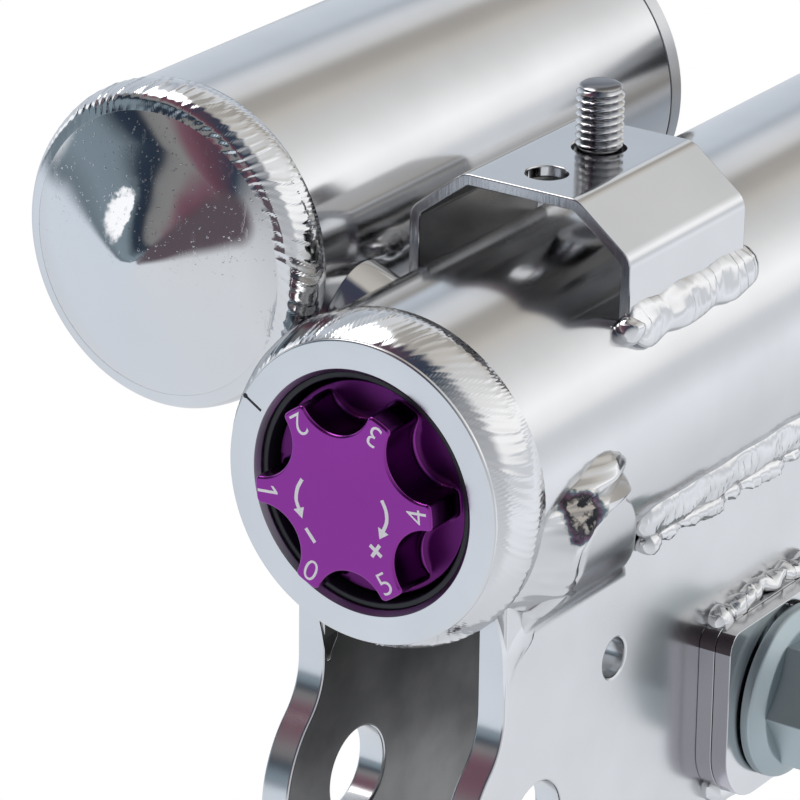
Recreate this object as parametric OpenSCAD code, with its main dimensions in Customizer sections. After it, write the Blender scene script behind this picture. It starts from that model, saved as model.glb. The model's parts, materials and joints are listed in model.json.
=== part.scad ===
// Strut type coilover. Z runs along the strut axis, from the foot to the top mount.
// The clevis for the wheel knuckle reaches towards -Y and its two ears face +X and -X.

/* [Strut tube] */
// outer diameter of the strut tube
tube_d = 54; // [48:0.5:60]
// wall of the strut tube
tube_wall = 2.5; // [2:0.1:3.5]
// height of the tube's open top above the foot face
tube_top = 290; // [270:1:330]

/* [Foot] */
// step from the tube's surface in to the flat foot face
foot_shoulder = 2; // [1:0.1:4]
// length of the foot ring that stands out of the tube
foot_t = 6; // [4:0.5:9]
// length of the foot ring's spigot inside the tube
foot_spigot = 10; // [6:0.5:12]
// width of the ring's lip inside the tube, which leaves the knob's bore
foot_lip = 5.05; // [4:0.05:6]
// chamfer at the mouth of that bore
foot_chamfer = 0.8; // [0.3:0.1:1.5]
// wall of the black sleeve in the bore
sleeve_wall = 1.05; // [0.6:0.05:1.4]
// how far the sleeve's edge lies below the foot face
sleeve_recess = 1.2; // [0.5:0.1:3]
// how far the weld bead round the foot stands out of the tube
bead_rise = 0.75; // [0.4:0.05:1.5]
// length of that bead on the tube
bead_run = 5; // [3:0.5:8]

/* [Compression knob] */
// gap between the knob's lobes and the sleeve round it
knob_side_gap = 1.88; // [1.6:0.02:4]
// how far the knob stands out of the foot face
knob_out = 5; // [2:0.5:10]
// number of lobes and of detents
knob_lobes = 6; // [5:1:8]
// radius of the flutes between the lobes
flute_r = 6.7; // [4:0.1:7]
// depth of a flute from the lobes' tips to its root
flute_cut = 5.3; // [4:0.1:6.5]
// depth of the flutes from the knob's face
flute_depth = 8; // [5:0.5:12]
// how far the knob's flange is wider than the lobes, on radius
knob_flange_step = 1.2; // [0.4:0.1:1.4]
// direction of the lobe nearest to +X
knob_turn = -5.5; // [-30:0.5:30]
// diameter of the needle stem
stem_d = 7.9; // [6:0.1:10]

/* [Valve and piston] */
// length of the valve body above the foot ring
valve_len = 30; // [24:1:40]
// height of the base valve piston
base_valve_t = 12; // [8:0.5:16]
// diameter of the piston rod
rod_d = 22; // [18:0.5:25]
// diameter of the rod's stepped ends
rod_end_d = 14; // [12:0.5:16]
// height of the main piston's lower face at full droop
piston_z = 240; // [225:1:245]
// height of the main piston
piston_t = 16; // [12:0.5:20]
// depth of the rod guide inside the tube
gland_len = 28; // [20:1:32]
// height of the rod guide's flange above the tube
gland_flange = 6; // [4:0.5:10]
// height of the wiper above the rod guide
wiper_t = 3; // [2:0.5:5]

/* [Reservoir] */
// outer diameter of the reservoir
res_d = 54; // [40:0.5:60]
// wall of the reservoir
res_wall = 2.2; // [1.8:0.1:3]
// gap between the reservoir and the strut tube
res_gap = 3.5; // [2.5:0.1:8]
// direction of the reservoir from the strut axis
res_turn = 22.8; // [0:0.1:40]
// height of the reservoir tube's lower edge
res_z = 22; // [18:0.5:30]
// length of the reservoir tube
res_len = 112; // [100:1:120]
// height of the conical cap below the tube's edge
cone_h = 11.8; // [6:0.2:16]
// radius of the cap's soft point
cone_tip_r = 6.5; // [3:0.5:9]
// thickness of the end plug above the tube
res_end_t = 4; // [3:0.5:8]
// length of the floating piston
float_t = 22; // [16:1:26]
// height of the floating piston's lower face at full droop
float_z = 62; // [58:1:66]
// height of the oil bridge between the tubes
bridge_z = 38; // [34:0.5:40]
// diameter of the bridge
bridge_d = 16; // [12:0.5:17]
// width of the bead round the bridge
bridge_bead = 1.2; // [0.8:0.1:1.6]

/* [Line bracket] */
// height of the bracket's top face above the tube
hat_rise = 10.7; // [8:0.1:14]
// width of the flat top
hat_top_w = 21.5; // [16:0.5:30]
// width over the two legs
hat_w = 42; // [36:0.5:46]
// height of the sloping flanks
hat_flank = 8; // [5:0.5:10]
// sheet thickness of the bracket
hat_t = 2; // [1.5:0.1:3]
// height of the bracket's lower edge along the strut
hat_z = 43.8; // [38:0.1:60]
// length of the bracket along the strut
hat_len = 35.5; // [30:0.5:50]
// distance of the plain hole from that lower edge
hat_hole_at = 8; // [6:0.5:9]
// diameter of the plain hole
hat_hole_d = 7; // [5:0.1:8]
// distance of the stud from the lower edge
hat_stud_at = 23.7; // [20:0.1:26]
// diameter of the bracket's stud
stud_d = 8; // [6:0.5:10]
// how far the stud stands out of the bracket
stud_out = 11; // [6:0.5:20]

/* [Clevis] */
// gap between the ears, where the knuckle sits
knuckle_gap = 29.4; // [24:0.1:34]
// thickness of one ear
ear_t = 5.2; // [4:0.1:7]
// height of the ears' front edge
ear_z = 11.6; // [10:0.1:16]
// distance of the knuckle bolts from the strut axis
bolt_reach = 60.8; // [56:0.1:70]
// height of the lower knuckle bolt hole
low_bolt_z = 21.5; // [20:0.5:24]
// distance between the knuckle bolts
bolt_pitch = 68.5; // [62:0.5:80]
// diameter of the lower knuckle bolt hole
low_bolt_d = 15.5; // [12:0.1:17]
// radius of the ears round a knuckle bolt
lobe_r = 20.1; // [18:0.1:22]
// radius of the fillet above the lower lobe
lobe_fillet = 12; // [6:0.5:13]
// height of the ears' upper end where it meets the tube
ear_top = 121; // [118:1:130]
// diameter of the small hole in the right ear
line_hole_d = 6.8; // [5:0.1:9]
// height of the small hole
line_hole_z = 44.3; // [38:0.1:50]
// distance of the small hole from the strut axis
line_hole_reach = 39.5; // [34:0.1:44]
// thickness of the saddle tongue on the tube
tongue_t = 4.2; // [3:0.1:6]
// lower and upper end of the tongue along the strut
tongue_z0 = 16; // [14:0.5:20]
// upper end of the tongue
tongue_z1 = 38; // [30:0.5:44]
// how far below the tube's side the right tongue ends, in degrees
tongue_end = 2.3; // [1:0.1:12]
// how much lower the left tongue ends, clear of the bridge
tongue_left_drop = 9; // [8:0.5:14]
// width of the bead above a tongue, in degrees
tongue_bead = 8.5; // [5:0.5:9]

/* [Camber bolt] */
// diameter of the camber bolt
camber_d = 14; // [12:0.1:15]
// travel of the camber bolt each way
camber_travel = 8; // [4:0.5:9]
// side play of the bolt in its slot
camber_play = 0.6; // [0.3:0.1:1]
// diameter of the bolt's flange
camber_flange_d = 33; // [28:0.5:36]
// thickness of the flange
camber_flange_t = 3; // [2:0.5:5]
// width across the flats of head and nut
camber_af = 22; // [19:0.5:24]
// height of head and nut
camber_head = 9; // [6:0.5:12]
// thickness of one reinforcing plate
plate_t = 3.05; // [2:0.05:5]
// length of a plate along the strut
plate_len = 37; // [34:0.5:44]
// width of a plate
plate_w = 32.5; // [30:0.5:38]

/* [Spring seat] */
// height of the spring's lower end
seat_z = 224; // [215:1:230]
// thickness of the seat's flange
seat_flange = 8; // [5:0.5:12]
// height of the composite insert below the flange
insert_len = 18; // [14:1:24]
// wall of the composite insert
insert_wall = 5.5; // [4:0.5:8]
// height of the collar inside the spring
collar_h = 9; // [6:0.5:14]
// number of spanner slots
spanner_slots = 8; // [6:1:12]

/* [Spring] */
// wire diameter
wire_d = 12; // [10:0.5:13]
// inner diameter of the spring
spring_id = 65; // [63:0.5:70]
// length between the seats
spring_len = 177; // [170:1:190]
// number of coils
coils = 7.5; // [6:0.25:8]
// gap between the closed end coils
end_gap = 0.9; // [0.5:0.1:1.5]

/* [Top mount] */
// thickness of the rubber pad above the spring
pad_t = 3; // [2:0.5:5]
// thickness of the upper seat's flange
top_seat_t = 6; // [4:0.5:10]
// thickness of the upper seat's hub
top_hub_t = 8; // [6:0.5:12]
// radius of the upper seat's hub
top_hub_r = 20; // [17:0.5:24]
// length of the bump stop
bump_len = 26; // [18:1:28]
// outer diameter of the bump stop
bump_d = 46; // [36:1:48]
// diameter of the spherical bearing's ball
ball_d = 26; // [24:0.5:28]
// height of the ball's centre above the upper seat
ball_up = 28; // [26:0.5:34]
// diameter of the sleeves beside the ball
ball_sleeve_d = 19; // [16:0.5:19]
// thickness of the bearing's liner
liner_t = 0.9; // [0.6:0.1:1.4]
// outer diameter of the bearing's race
race_d = 35; // [33:0.5:38]
// height of the race
race_h = 16; // [14:0.5:16]
// thickness of the sliding carrier
carrier_t = 6; // [4:0.5:8]
// thickness of the top plate
plate_top_t = 8; // [5:0.5:12]
// camber travel each way
slide_travel = 10; // [5:0.5:12]
// circle of the three studs
stud_pcd = 124; // [118:1:140]
// diameter of the top studs
top_stud_d = 8; // [8:0.5:10]
// how far the top studs stand out
top_stud_out = 28; // [20:1:35]
// across flats of the nut on the rod
nut_af = 22; // [19:0.5:24]
// height of that nut
nut_h = 11; // [8:0.5:12]
// diameter of the rebound knob
rebound_d = 19; // [14:0.5:22]
// height of the rebound knob
rebound_h = 12; // [8:0.5:16]

/* [Fits] */
// radial gap of pieces that are pressed or clamped together
press_gap = 0.02; // [0.01:0.005:0.05]
// radial gap of running pieces
run_gap = 0.05; // [0.03:0.01:0.08]
// gap between flat faces that slide on each other
face_gap = 0.3; // [0.2:0.05:0.6]
// gap under pieces that are welded to a tube
seam_gap = 0.05; // [0.02:0.01:0.1]

/* [Hidden] */
$fn = 0;
eps = 0.01;
tube_r = tube_d / 2;
tube_ri = tube_r - tube_wall;
face_r = tube_r - foot_shoulder;
foot_bore_r = tube_ri - foot_lip;
sleeve_r = foot_bore_r - press_gap;
valve_z = foot_t + foot_spigot;
knob_r = sleeve_r - sleeve_wall - knob_side_gap;
knob_back = valve_z - face_gap;
flute_at = knob_r - flute_cut + flute_r;
stem_r = stem_d / 2;
base_z = valve_z + valve_len;
base_top = base_z + base_valve_t;
res_r = res_d / 2;
res_ri = res_r - res_wall;
res_off = tube_r + res_gap + res_r;
res_top = res_z + res_len;
res_x = res_off * cos(res_turn);
res_y = res_off * sin(res_turn);
hat_y = tube_r + hat_rise;
hat_stud_z = hat_z + hat_stud_at;
ear_in = knuckle_gap / 2;
ear_out = ear_in + ear_t;
camber_z = low_bolt_z + bolt_pitch;
slot_r = camber_d / 2 + camber_play;
plates_out = ear_out + 2 * plate_t;
rod_r = rod_d / 2;
rod_end_r = rod_end_d / 2;
gland_z = tube_top - gland_len;
gland_top = tube_top + gland_flange;
float_top = float_z + float_t;
spring_mean = (spring_id + wire_d) / 2;
spring_top = seat_z + spring_len;
seat_r = spring_mean + wire_d / 2 + 1;
collar_r = spring_id / 2 - 2.5;
insert_ri = tube_r + run_gap;
insert_ro = insert_ri + insert_wall;
top_seat_z = spring_top + pad_t;
ball_z = top_seat_z + top_hub_t + ball_up;
ball_r = ball_d / 2;
liner_ri = ball_r + run_gap;
liner_ro = liner_ri + liner_t;
race_ri = liner_ro + run_gap;
race_r = race_d / 2;
boss_r = race_r + 2.1;
carrier_z = ball_z - race_h / 2 - 2;
plate_z = carrier_z + carrier_t + face_gap;
plate_top_z = plate_z + plate_top_t;
nut_z = ball_z + race_h / 2 + 8;
rod_top = nut_z + 16;
screw_x = boss_r + 8.4;
screw_y = 13;
screw_r = 3;
top_stud_r = top_stud_d / 2;
// how much thinner a stud is where it goes through its plate
neck_step = 0.3;

steel = [0.86, 0.86, 0.85];
weld = [0.75, 0.72, 0.68];
zinc = [0.62, 0.67, 0.71];
purple = [0.45, 0.12, 0.5];
black = [0.08, 0.08, 0.09];
alu = [0.78, 0.79, 0.8];
graphite = [0.22, 0.23, 0.25];
rubber = [0.12, 0.12, 0.12];
foam = [0.75, 0.66, 0.4];
ptfe = [0.85, 0.83, 0.76];

module flip_x(side) {
    if (side < 0) mirror([1, 0, 0]) children();
    else children();
}

module ring(ro, ri, z0, z1) {
    translate([0, 0, z0])
        difference() {
            cylinder(r = ro, h = z1 - z0);
            translate([0, 0, -1]) cylinder(r = ri, h = z1 - z0 + 2);
        }
}

module at_reservoir() {
    translate([res_x, res_y, 0]) children();
}

// a plate lying in the YZ plane, from x0 to x0 + t, drawn as [y, z]
module side_plate(x0, t) {
    translate([x0, 0, 0]) rotate([90, 0, 90]) linear_extrude(height = t) children();
}

// a hexagonal prism along Z
module hex(af, h) {
    cylinder(r = af / 2 / cos(30), h = h, $fn = 6);
}

// a stadium shaped slot along the first axis
module slot2d(half, r) {
    union() {
        translate([-half, -r]) square([2 * half, 2 * r]);
        translate([-half, 0]) circle(r = r);
        translate([half, 0]) circle(r = r);
    }
}

module round_rect(w, h, r) {
    union() {
        translate([-w / 2 + r, -h / 2]) square([w - 2 * r, h]);
        translate([-w / 2, -h / 2 + r]) square([w, h - 2 * r]);
        for (i = [-1, 1], j = [-1, 1])
            translate([i * (w / 2 - r), j * (h / 2 - r)]) circle(r = r);
    }
}

// ---------- strut ----------

module strut_tube() {
    color(steel) difference() {
        ring(tube_r, tube_ri, foot_t, tube_top);
        oil_way(tube_ri - 2, tube_r + 2);
    }
}

// the oil bore of the bridge, from one distance off the strut axis to another
module oil_way(from, to) {
    rotate([0, 0, res_turn])
        translate([from, 0, bridge_z])
            rotate([0, 90, 0]) cylinder(r = 3, h = to - from);
}

module foot_ring() {
    color(steel) rotate_extrude()
        polygon([
            [foot_bore_r + foot_chamfer, 0],
            [face_r, 0],
            [face_r, foot_t],
            [tube_ri - press_gap, foot_t],
            [tube_ri - press_gap, valve_z],
            [foot_bore_r, valve_z],
            [foot_bore_r, foot_chamfer]
        ]);
}

module weld_foot() {
    b = tube_r + bead_rise;
    color(weld) rotate_extrude()
        polygon([
            [face_r, 0.6],
            [face_r + 0.55 * (b - face_r), 1.5],
            [face_r + 0.85 * (b - face_r), 3],
            [b, foot_t - 0.6],
            [b, foot_t + 0.4 * bead_run],
            [tube_r + 0.5 * bead_rise, foot_t + 0.8 * bead_run],
            [tube_r, foot_t + bead_run],
            [tube_r, foot_t],
            [face_r, foot_t]
        ]);
}

module bore_sleeve() {
    color(black) ring(sleeve_r, sleeve_r - sleeve_wall, sleeve_recess, valve_z - 1);
}

module valve_body() {
    color(alu) difference() {
        translate([0, 0, valve_z]) cylinder(r = tube_ri - press_gap, h = valve_len);
        translate([0, 0, valve_z - 1]) cylinder(r = stem_r + run_gap, h = valve_len + 2);
        translate([0, 0, bridge_z]) cylinder(r = stem_r + 2, h = base_z - bridge_z + 1);
        oil_way(0, tube_r);
    }
}

module base_valve() {
    color(alu) difference() {
        translate([0, 0, base_z]) cylinder(r = tube_ri - press_gap, h = base_valve_t);
        translate([0, 0, base_z - 1]) cylinder(r = stem_r + 2, h = base_valve_t + 2);
        for (a = [0 : 60 : 300])
            rotate([0, 0, a]) translate([tube_ri * 0.62, 0, base_z - 1])
                cylinder(r = 2.6, h = base_valve_t + 2);
    }
}

module base_shims() {
    color(zinc) union() {
        ring(tube_ri * 0.8, stem_r + 2, base_top, base_top + 0.6);
        ring(tube_ri * 0.66, stem_r + 2, base_top + 0.6, base_top + 1.2);
        ring(tube_ri * 0.5, stem_r + 2, base_top + 1.2, base_top + 2.4);
        difference() {
            translate([0, 0, base_top + 2.4]) hex(19, 5);
            translate([0, 0, base_top + 2]) cylinder(r = stem_r + 2, h = 4);
        }
    }
}

module rod_guide() {
    color(alu) difference() {
        union() {
            translate([0, 0, gland_z]) cylinder(r = tube_ri - press_gap, h = gland_len);
            translate([0, 0, tube_top]) cylinder(r = tube_r, h = gland_flange);
        }
        translate([0, 0, gland_z - 1])
            cylinder(r = rod_r + run_gap, h = gland_len + gland_flange + 2);
        for (a = [0 : 90 : 270])
            rotate([0, 0, a]) translate([tube_r - 4, 0, gland_top - 3]) cylinder(r = 2, h = 4);
    }
}

module rod_wiper() {
    color(rubber) translate([0, 0, gland_top]) rotate_extrude()
        polygon([
            [rod_r + run_gap, 0],
            [rod_r + 5.5, 0],
            [rod_r + 5.5, wiper_t * 0.5],
            [rod_r + 2.2, wiper_t],
            [rod_r + run_gap, wiper_t]
        ]);
}

// ---------- reservoir ----------

module reservoir_tube() {
    color(steel) difference() {
        at_reservoir() ring(res_r, res_ri, res_z, res_top);
        oil_way(tube_r, tube_r + res_gap + res_wall + 2);
    }
}

module reservoir_cap() {
    skirt_r = res_ri - press_gap;
    tip = res_z - cone_h;
    rim = res_z - 3.4;
    color(steel) at_reservoir() rotate_extrude()
        polygon([
            [0, tip],
            [cone_tip_r * 0.35, tip + 0.2],
            [cone_tip_r * 0.7, tip + 0.75],
            [cone_tip_r, tip + 1.6],
            [skirt_r, rim],
            [skirt_r, res_z + 8],
            [skirt_r - 3, res_z + 8],
            [skirt_r - 3, rim + 2],
            [cone_tip_r, tip + 4.8],
            [0, tip + 3.6]
        ]);
}

module weld_reservoir() {
    b = res_r + bead_rise + 0.15;
    s = res_ri - press_gap;
    color(weld) at_reservoir() rotate_extrude()
        polygon([
            [s, res_z - 3.3],
            [s + 1.4, res_z - 3],
            [b - 0.5, res_z - 1.6],
            [b, res_z + 0.3],
            [b, res_z + 2.4],
            [res_r + 0.4, res_z + 4.4],
            [res_r, res_z + 5.8],
            [res_r, res_z],
            [s, res_z]
        ]);
}

module reservoir_end() {
    color(alu) at_reservoir() difference() {
        rotate_extrude()
            polygon([
                [0, res_top - 12],
                [res_ri - press_gap, res_top - 12],
                [res_ri - press_gap, res_top],
                [res_r, res_top],
                [res_r, res_top + res_end_t - 1],
                [res_r - 1, res_top + res_end_t],
                [0, res_top + res_end_t]
            ]);
        translate([0, 0, res_top - 13]) cylinder(r = 2.5, h = res_end_t + 14);
        translate([0, 0, res_top + res_end_t - 2]) cylinder(r = 9, h = 3);
    }
}

module fill_valve() {
    color(zinc) at_reservoir() translate([0, 0, res_top + res_end_t - 2]) union() {
        hex(12, 4);
        cylinder(r = 3.4, h = 8);
    }
}

module floating_piston() {
    color(alu) at_reservoir() difference() {
        translate([0, 0, float_z]) cylinder(r = res_ri - run_gap, h = float_t);
        ring(res_r, res_ri - 2.5, float_z + float_t / 2 - 1.6, float_z + float_t / 2 + 1.6);
        translate([0, 0, float_z + 6]) cylinder(r = res_ri - 6, h = float_t);
    }
}

module floating_seal() {
    color(rubber) at_reservoir()
        ring(res_ri - run_gap, res_ri - 2.5 + press_gap, float_z + float_t / 2 - 1.5,
            float_z + float_t / 2 + 1.5);
}

module bridge_boss() {
    color(steel) difference() {
        rotate([0, 0, res_turn]) translate([tube_r - 8, 0, bridge_z])
            rotate([0, 90, 0]) cylinder(r = bridge_d / 2, h = res_gap + 16);
        cylinder(r = tube_r + seam_gap, h = tube_top);
        at_reservoir() cylinder(r = res_r + seam_gap, h = res_top);
        oil_way(tube_r - 10, tube_r + 20);
    }
}

module weld_bridge() {
    w = bridge_d / 2 + bridge_bead;
    color(weld) difference() {
        rotate([0, 0, res_turn]) translate([tube_r - 8, 0, bridge_z])
            rotate([0, 90, 0]) difference() {
                cylinder(r = w, h = res_gap + 16);
                translate([0, 0, -1]) cylinder(r = bridge_d / 2 + press_gap, h = res_gap + 18);
            }
        cylinder(r = tube_r + seam_gap, h = tube_top);
        at_reservoir() cylinder(r = res_r + seam_gap, h = res_top);
    }
}

// ---------- line bracket ----------

// half of the sheet's outline, pulled in by d
function hat_half(d) = [
    [hat_w / 2 - d, 0],
    [hat_w / 2 - d, hat_y - hat_flank - 1.1 - 0.35 * d],
    [hat_w / 2 - 0.45 - 0.95 * d, hat_y - hat_flank - 0.1 - 0.5 * d],
    [hat_w / 2 - 1.4 - 0.8 * d, hat_y - hat_flank + 0.9 - 0.75 * d],
    [hat_top_w / 2 + 1.4 - 0.6 * d, hat_y - 0.75 - 0.85 * d],
    [hat_top_w / 2 + 0.5 - 0.5 * d, hat_y - 0.2 - 0.95 * d],
    [hat_top_w / 2 - 0.6 - 0.4 * d, hat_y - d]
];

function mirrored(p) = [for (q = p) [-q[0], q[1]]];
function reversed(p) = [for (i = [len(p) - 1 : -1 : 0]) p[i]];

module hat_bracket() {
    outline = concat(hat_half(0), reversed(mirrored(hat_half(0))), mirrored(hat_half(hat_t)),
        reversed(hat_half(hat_t)));
    color(steel) difference() {
        translate([0, 0, hat_z]) linear_extrude(height = hat_len) polygon(outline);
        cylinder(r = tube_r + seam_gap, h = tube_top);
        translate([0, hat_y + 1, hat_stud_z]) rotate([90, 0, 0])
            cylinder(r = stud_d / 2 + 0.5, h = hat_t + 2);
        translate([0, hat_y + 1, hat_z + hat_hole_at]) rotate([90, 0, 0])
            cylinder(r = hat_hole_d / 2, h = hat_t + 2);
    }
}

module line_stud() {
    color(zinc) translate([0, hat_y, hat_stud_z]) rotate([-90, 0, 0]) union() {
        translate([0, 0, -hat_t - 3.5]) cylinder(r = stud_d * 0.78, h = 3.5 - press_gap);
        translate([0, 0, -hat_t - 1]) cylinder(r = stud_d / 2 - neck_step, h = hat_t + 2);
        translate([0, 0, face_gap]) cylinder(r = stud_d / 2, h = stud_out - 1 - face_gap);
        translate([0, 0, stud_out - 1])
            cylinder(r1 = stud_d / 2, r2 = stud_d / 2 - 1, h = 1);
    }
}

module weld_hat() {
    leg = hat_w / 2;
    foot = sqrt(pow(tube_r, 2) - pow(leg, 2));
    end = hat_z + hat_len + 2.5;
    color(weld) difference() {
        for (side = [-1, 1], z0 = side < 0 ? hat_z - 1.5
                : max(hat_z - 1.5, bridge_z + bridge_d / 2 + bridge_bead + 1))
            flip_x(side) translate([0, 0, z0]) linear_extrude(height = end - z0)
                polygon([
                    [leg + press_gap, foot - 3.5],
                    [leg + 2.6, foot - 3.5],
                    [leg + 1.7, foot + 0.8],
                    [leg + 0.8, foot + 2.6],
                    [leg + press_gap, foot + 3.2]
                ]);
        cylinder(r = tube_r + seam_gap, h = tube_top, $fn = 240);
    }
}

// ---------- clevis ----------

// outline of an ear as [y, z]; the tube cuts its upper edge
module ear_outline() {
    low = [-bolt_reach, low_bolt_z];
    high = [-bolt_reach, camber_z];
    fil_z = ear_z - lobe_fillet;
    fil_y = -bolt_reach + sqrt(pow(lobe_r + lobe_fillet, 2) - pow(low_bolt_z - fil_z, 2));
    meet = (low + ([fil_y, fil_z] - low) * lobe_r / (lobe_r + lobe_fillet));
    difference() {
        union() {
            translate(low) circle(r = lobe_r);
            translate(high) circle(r = lobe_r);
            polygon([
                [-8, ear_z],
                [fil_y, ear_z],
                [fil_y, meet[1] - 0.5],
                [meet[0], meet[1] - 0.5],
                low,
                [-bolt_reach - lobe_r, low_bolt_z],
                [-bolt_reach - lobe_r, camber_z],
                high,
                [-bolt_reach, camber_z + lobe_r],
                [-tube_r - 22, camber_z + lobe_r],
                [-tube_r - 2, ear_top],
                [-8, ear_top]
            ]);
        }
        translate([fil_y, fil_z]) circle(r = lobe_fillet);
        translate(low) circle(r = low_bolt_d / 2);
        translate(high) slot2d(camber_travel + 0.3, slot_r);
    }
}

// how far below the tube's side a tongue ends
function tongue_low(side) = tongue_end + (side > 0 ? tongue_left_drop : 0);

// a wedge from the axis, between two directions below +X
module wedge(from, to) {
    far = 3 * tube_r;
    polygon([[0, 0], far * [cos(from), sin(from)], far * [cos(to), sin(to)]]);
}

// the tongue that wraps round the tube from the ear's fold up to the tube's side
module tongue(side) {
    ro = tube_r + tongue_t;
    flip_x(side) translate([0, 0, tongue_z0])
        linear_extrude(height = tongue_z1 - tongue_z0) union() {
            intersection() {
                circle(r = ro);
                wedge(-tongue_low(side), -44);
            }
            polygon([
                [ear_out, -ro + 4],
                [ear_out, -0.88 * ro],
                [ro * cos(40), -ro * sin(40)],
                [ear_out - 1, -ro * sin(35)],
                [ear_in, -0.8 * ro]
            ]);
        }
}

module ear(side) {
    difference() {
        union() {
            side_plate(side > 0 ? ear_in : -ear_out, ear_t) ear_outline();
            tongue(side);
        }
        cylinder(r = tube_r + seam_gap, h = tube_top);
        if (side < 0)
            translate([-ear_out - 1, -line_hole_reach, line_hole_z]) rotate([0, 90, 0])
                cylinder(r = line_hole_d / 2, h = ear_t + 2);
    }
}

module ear_right() {
    color(steel) ear(-1);
}

module ear_left() {
    color(steel) ear(1);
}

// the bead round a tongue and along the ear's upper edge
module weld_ear(side) {
    ro = tube_r + tongue_t;
    foot = sqrt(pow(tube_r, 2) - pow(ear_out, 2));
    low = tongue_low(side);
    z0 = ear_z + 0.4;
    flip_x(side) difference() {
        union() {
            // in front of the tongue
            translate([0, 0, z0]) linear_extrude(height = tongue_z0 - z0 - press_gap)
                intersection() {
                    circle(r = ro - 0.7);
                    wedge(tongue_bead - low - 3, -41.5);
                }
            // along the tongue's free edge
            translate([0, 0, z0]) linear_extrude(height = tongue_z1 - z0 - 1)
                intersection() {
                    circle(r = ro - 1);
                    wedge(tongue_bead - low, 0.1 - low);
                }
            // along the ear on the tube
            translate([0, 0, tongue_z1 + press_gap])
                linear_extrude(height = ear_top - tongue_z1 - 1)
                    polygon([
                        [ear_out + press_gap, -foot - 3.4],
                        [ear_out + 0.9, -foot - 2.4],
                        [ear_out + 2.6, -foot + 0.2],
                        [ear_out + 3, -foot + 3],
                        [ear_out + press_gap, -foot + 3]
                    ]);
        }
        cylinder(r = tube_r + seam_gap, h = tube_top);
    }
}

module weld_ear_right() {
    color(weld) weld_ear(-1);
}

module weld_ear_left() {
    color(weld) weld_ear(1);
}

// one reinforcing plate; k counts from the ear outwards
module slot_plate(side, k) {
    x = ear_out + k * plate_t;
    side_plate(side > 0 ? x : -x - plate_t, plate_t)
        translate([-bolt_reach, camber_z]) difference() {
            round_rect(plate_w, plate_len, 2.5);
            slot2d(camber_travel + 0.3, slot_r);
        }
}

module plate_inner_right() {
    color(steel) slot_plate(-1, 0);
}

module plate_outer_right() {
    color(steel) slot_plate(-1, 1);
}

module plate_inner_left() {
    color(steel) slot_plate(1, 0);
}

module plate_outer_left() {
    color(steel) slot_plate(1, 1);
}

module weld_plates(side) {
    w = plate_w / 2;
    x0 = ear_out + press_gap;
    h = 2 * plate_t - 0.8;
    flip_x(side) translate([0, -bolt_reach, camber_z - plate_len / 2 + 2])
        for (end = [0, 1]) mirror([0, end, 0]) linear_extrude(height = plate_len - 4)
            polygon([
                [x0, w + press_gap],
                [x0, w + 3.2],
                [x0 + 1.2, w + 2.8],
                [x0 + h - 0.6, w + 1.3],
                [x0 + h, w + press_gap]
            ]);
}

module weld_plates_right() {
    color(weld) weld_plates(-1);
}

module weld_plates_left() {
    color(weld) weld_plates(1);
}

// ---------- camber bolt ----------

module camber_bolt() {
    at = plates_out + face_gap;
    color(zinc) translate([-at, -bolt_reach, camber_z]) rotate([0, 90, 0]) union() {
        cylinder(r = camber_d / 2, h = 2 * at + camber_flange_t + camber_head + 3);
        translate([0, 0, -camber_flange_t]) cylinder(r = camber_flange_d / 2, h = camber_flange_t);
        translate([0, 0, -camber_flange_t - camber_head]) rotate(30)
            hex(camber_af, camber_head);
    }
}

module camber_nut() {
    at = plates_out + face_gap;
    color(zinc) translate([at, -bolt_reach, camber_z]) rotate([0, 90, 0]) difference() {
        union() {
            cylinder(r = camber_flange_d / 2, h = camber_flange_t);
            translate([0, 0, camber_flange_t]) rotate(30) hex(camber_af, camber_head);
        }
        translate([0, 0, -1])
            cylinder(r = camber_d / 2 + press_gap, h = camber_flange_t + camber_head + 2);
    }
}

// ---------- compression knob ----------

module bump_knob() {
    color(purple) rotate([0, 0, knob_turn]) difference() {
        union() {
            translate([0, 0, -knob_out]) cylinder(r = knob_r, h = knob_out + knob_back);
            translate([0, 0, flute_depth - knob_out])
                cylinder(r = knob_r + knob_flange_step, h = knob_back + knob_out - flute_depth);
        }
        for (k = [0 : knob_lobes - 1])
            rotate([0, 0, (k + 0.5) * 360 / knob_lobes]) translate([flute_at, 0, -knob_out - 1])
                cylinder(r = flute_r, h = flute_depth + 1);
        translate([0, 0, knob_back - 6]) cylinder(r = stem_r + press_gap, h = 7);
    }
}

module needle_stem() {
    color(zinc) translate([0, 0, knob_back - 6 + press_gap]) union() {
        cylinder(r = stem_r, h = bridge_z - knob_back - 2);
        cylinder(r = stem_r - 1.8, h = base_z + 2 - knob_back + 4);
        translate([0, 0, base_z + 6 - knob_back])
            cylinder(r1 = stem_r - 1.8, r2 = 0.6, h = 8);
    }
}

// ---------- spring seat ----------

module perch_insert() {
    z0 = seat_z - seat_flange - insert_len;
    color(black) difference() {
        union() {
            ring(insert_ro, insert_ri, z0, seat_z - seat_flange);
            for (a = [0 : 45 : 315])
                rotate([0, 0, a]) translate([insert_ro - 1, -4, z0])
                    cube([3.2, 8, insert_len - 6]);
        }
        rotate([0, 0, 22.5]) translate([0, 0, z0 + insert_len / 2]) rotate([0, 90, 0])
            cylinder(r = 2.5, h = insert_ro + 4);
    }
}

module perch_screw() {
    z = seat_z - seat_flange - insert_len / 2;
    color(zinc) rotate([0, 0, 22.5]) translate([insert_ri + 0.3, 0, z]) rotate([0, 90, 0])
        difference() {
            cylinder(r = 2.5 - press_gap, h = insert_wall + 0.4);
            translate([0, 0, insert_wall - 2]) hex(2.5, 4);
        }
}

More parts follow.
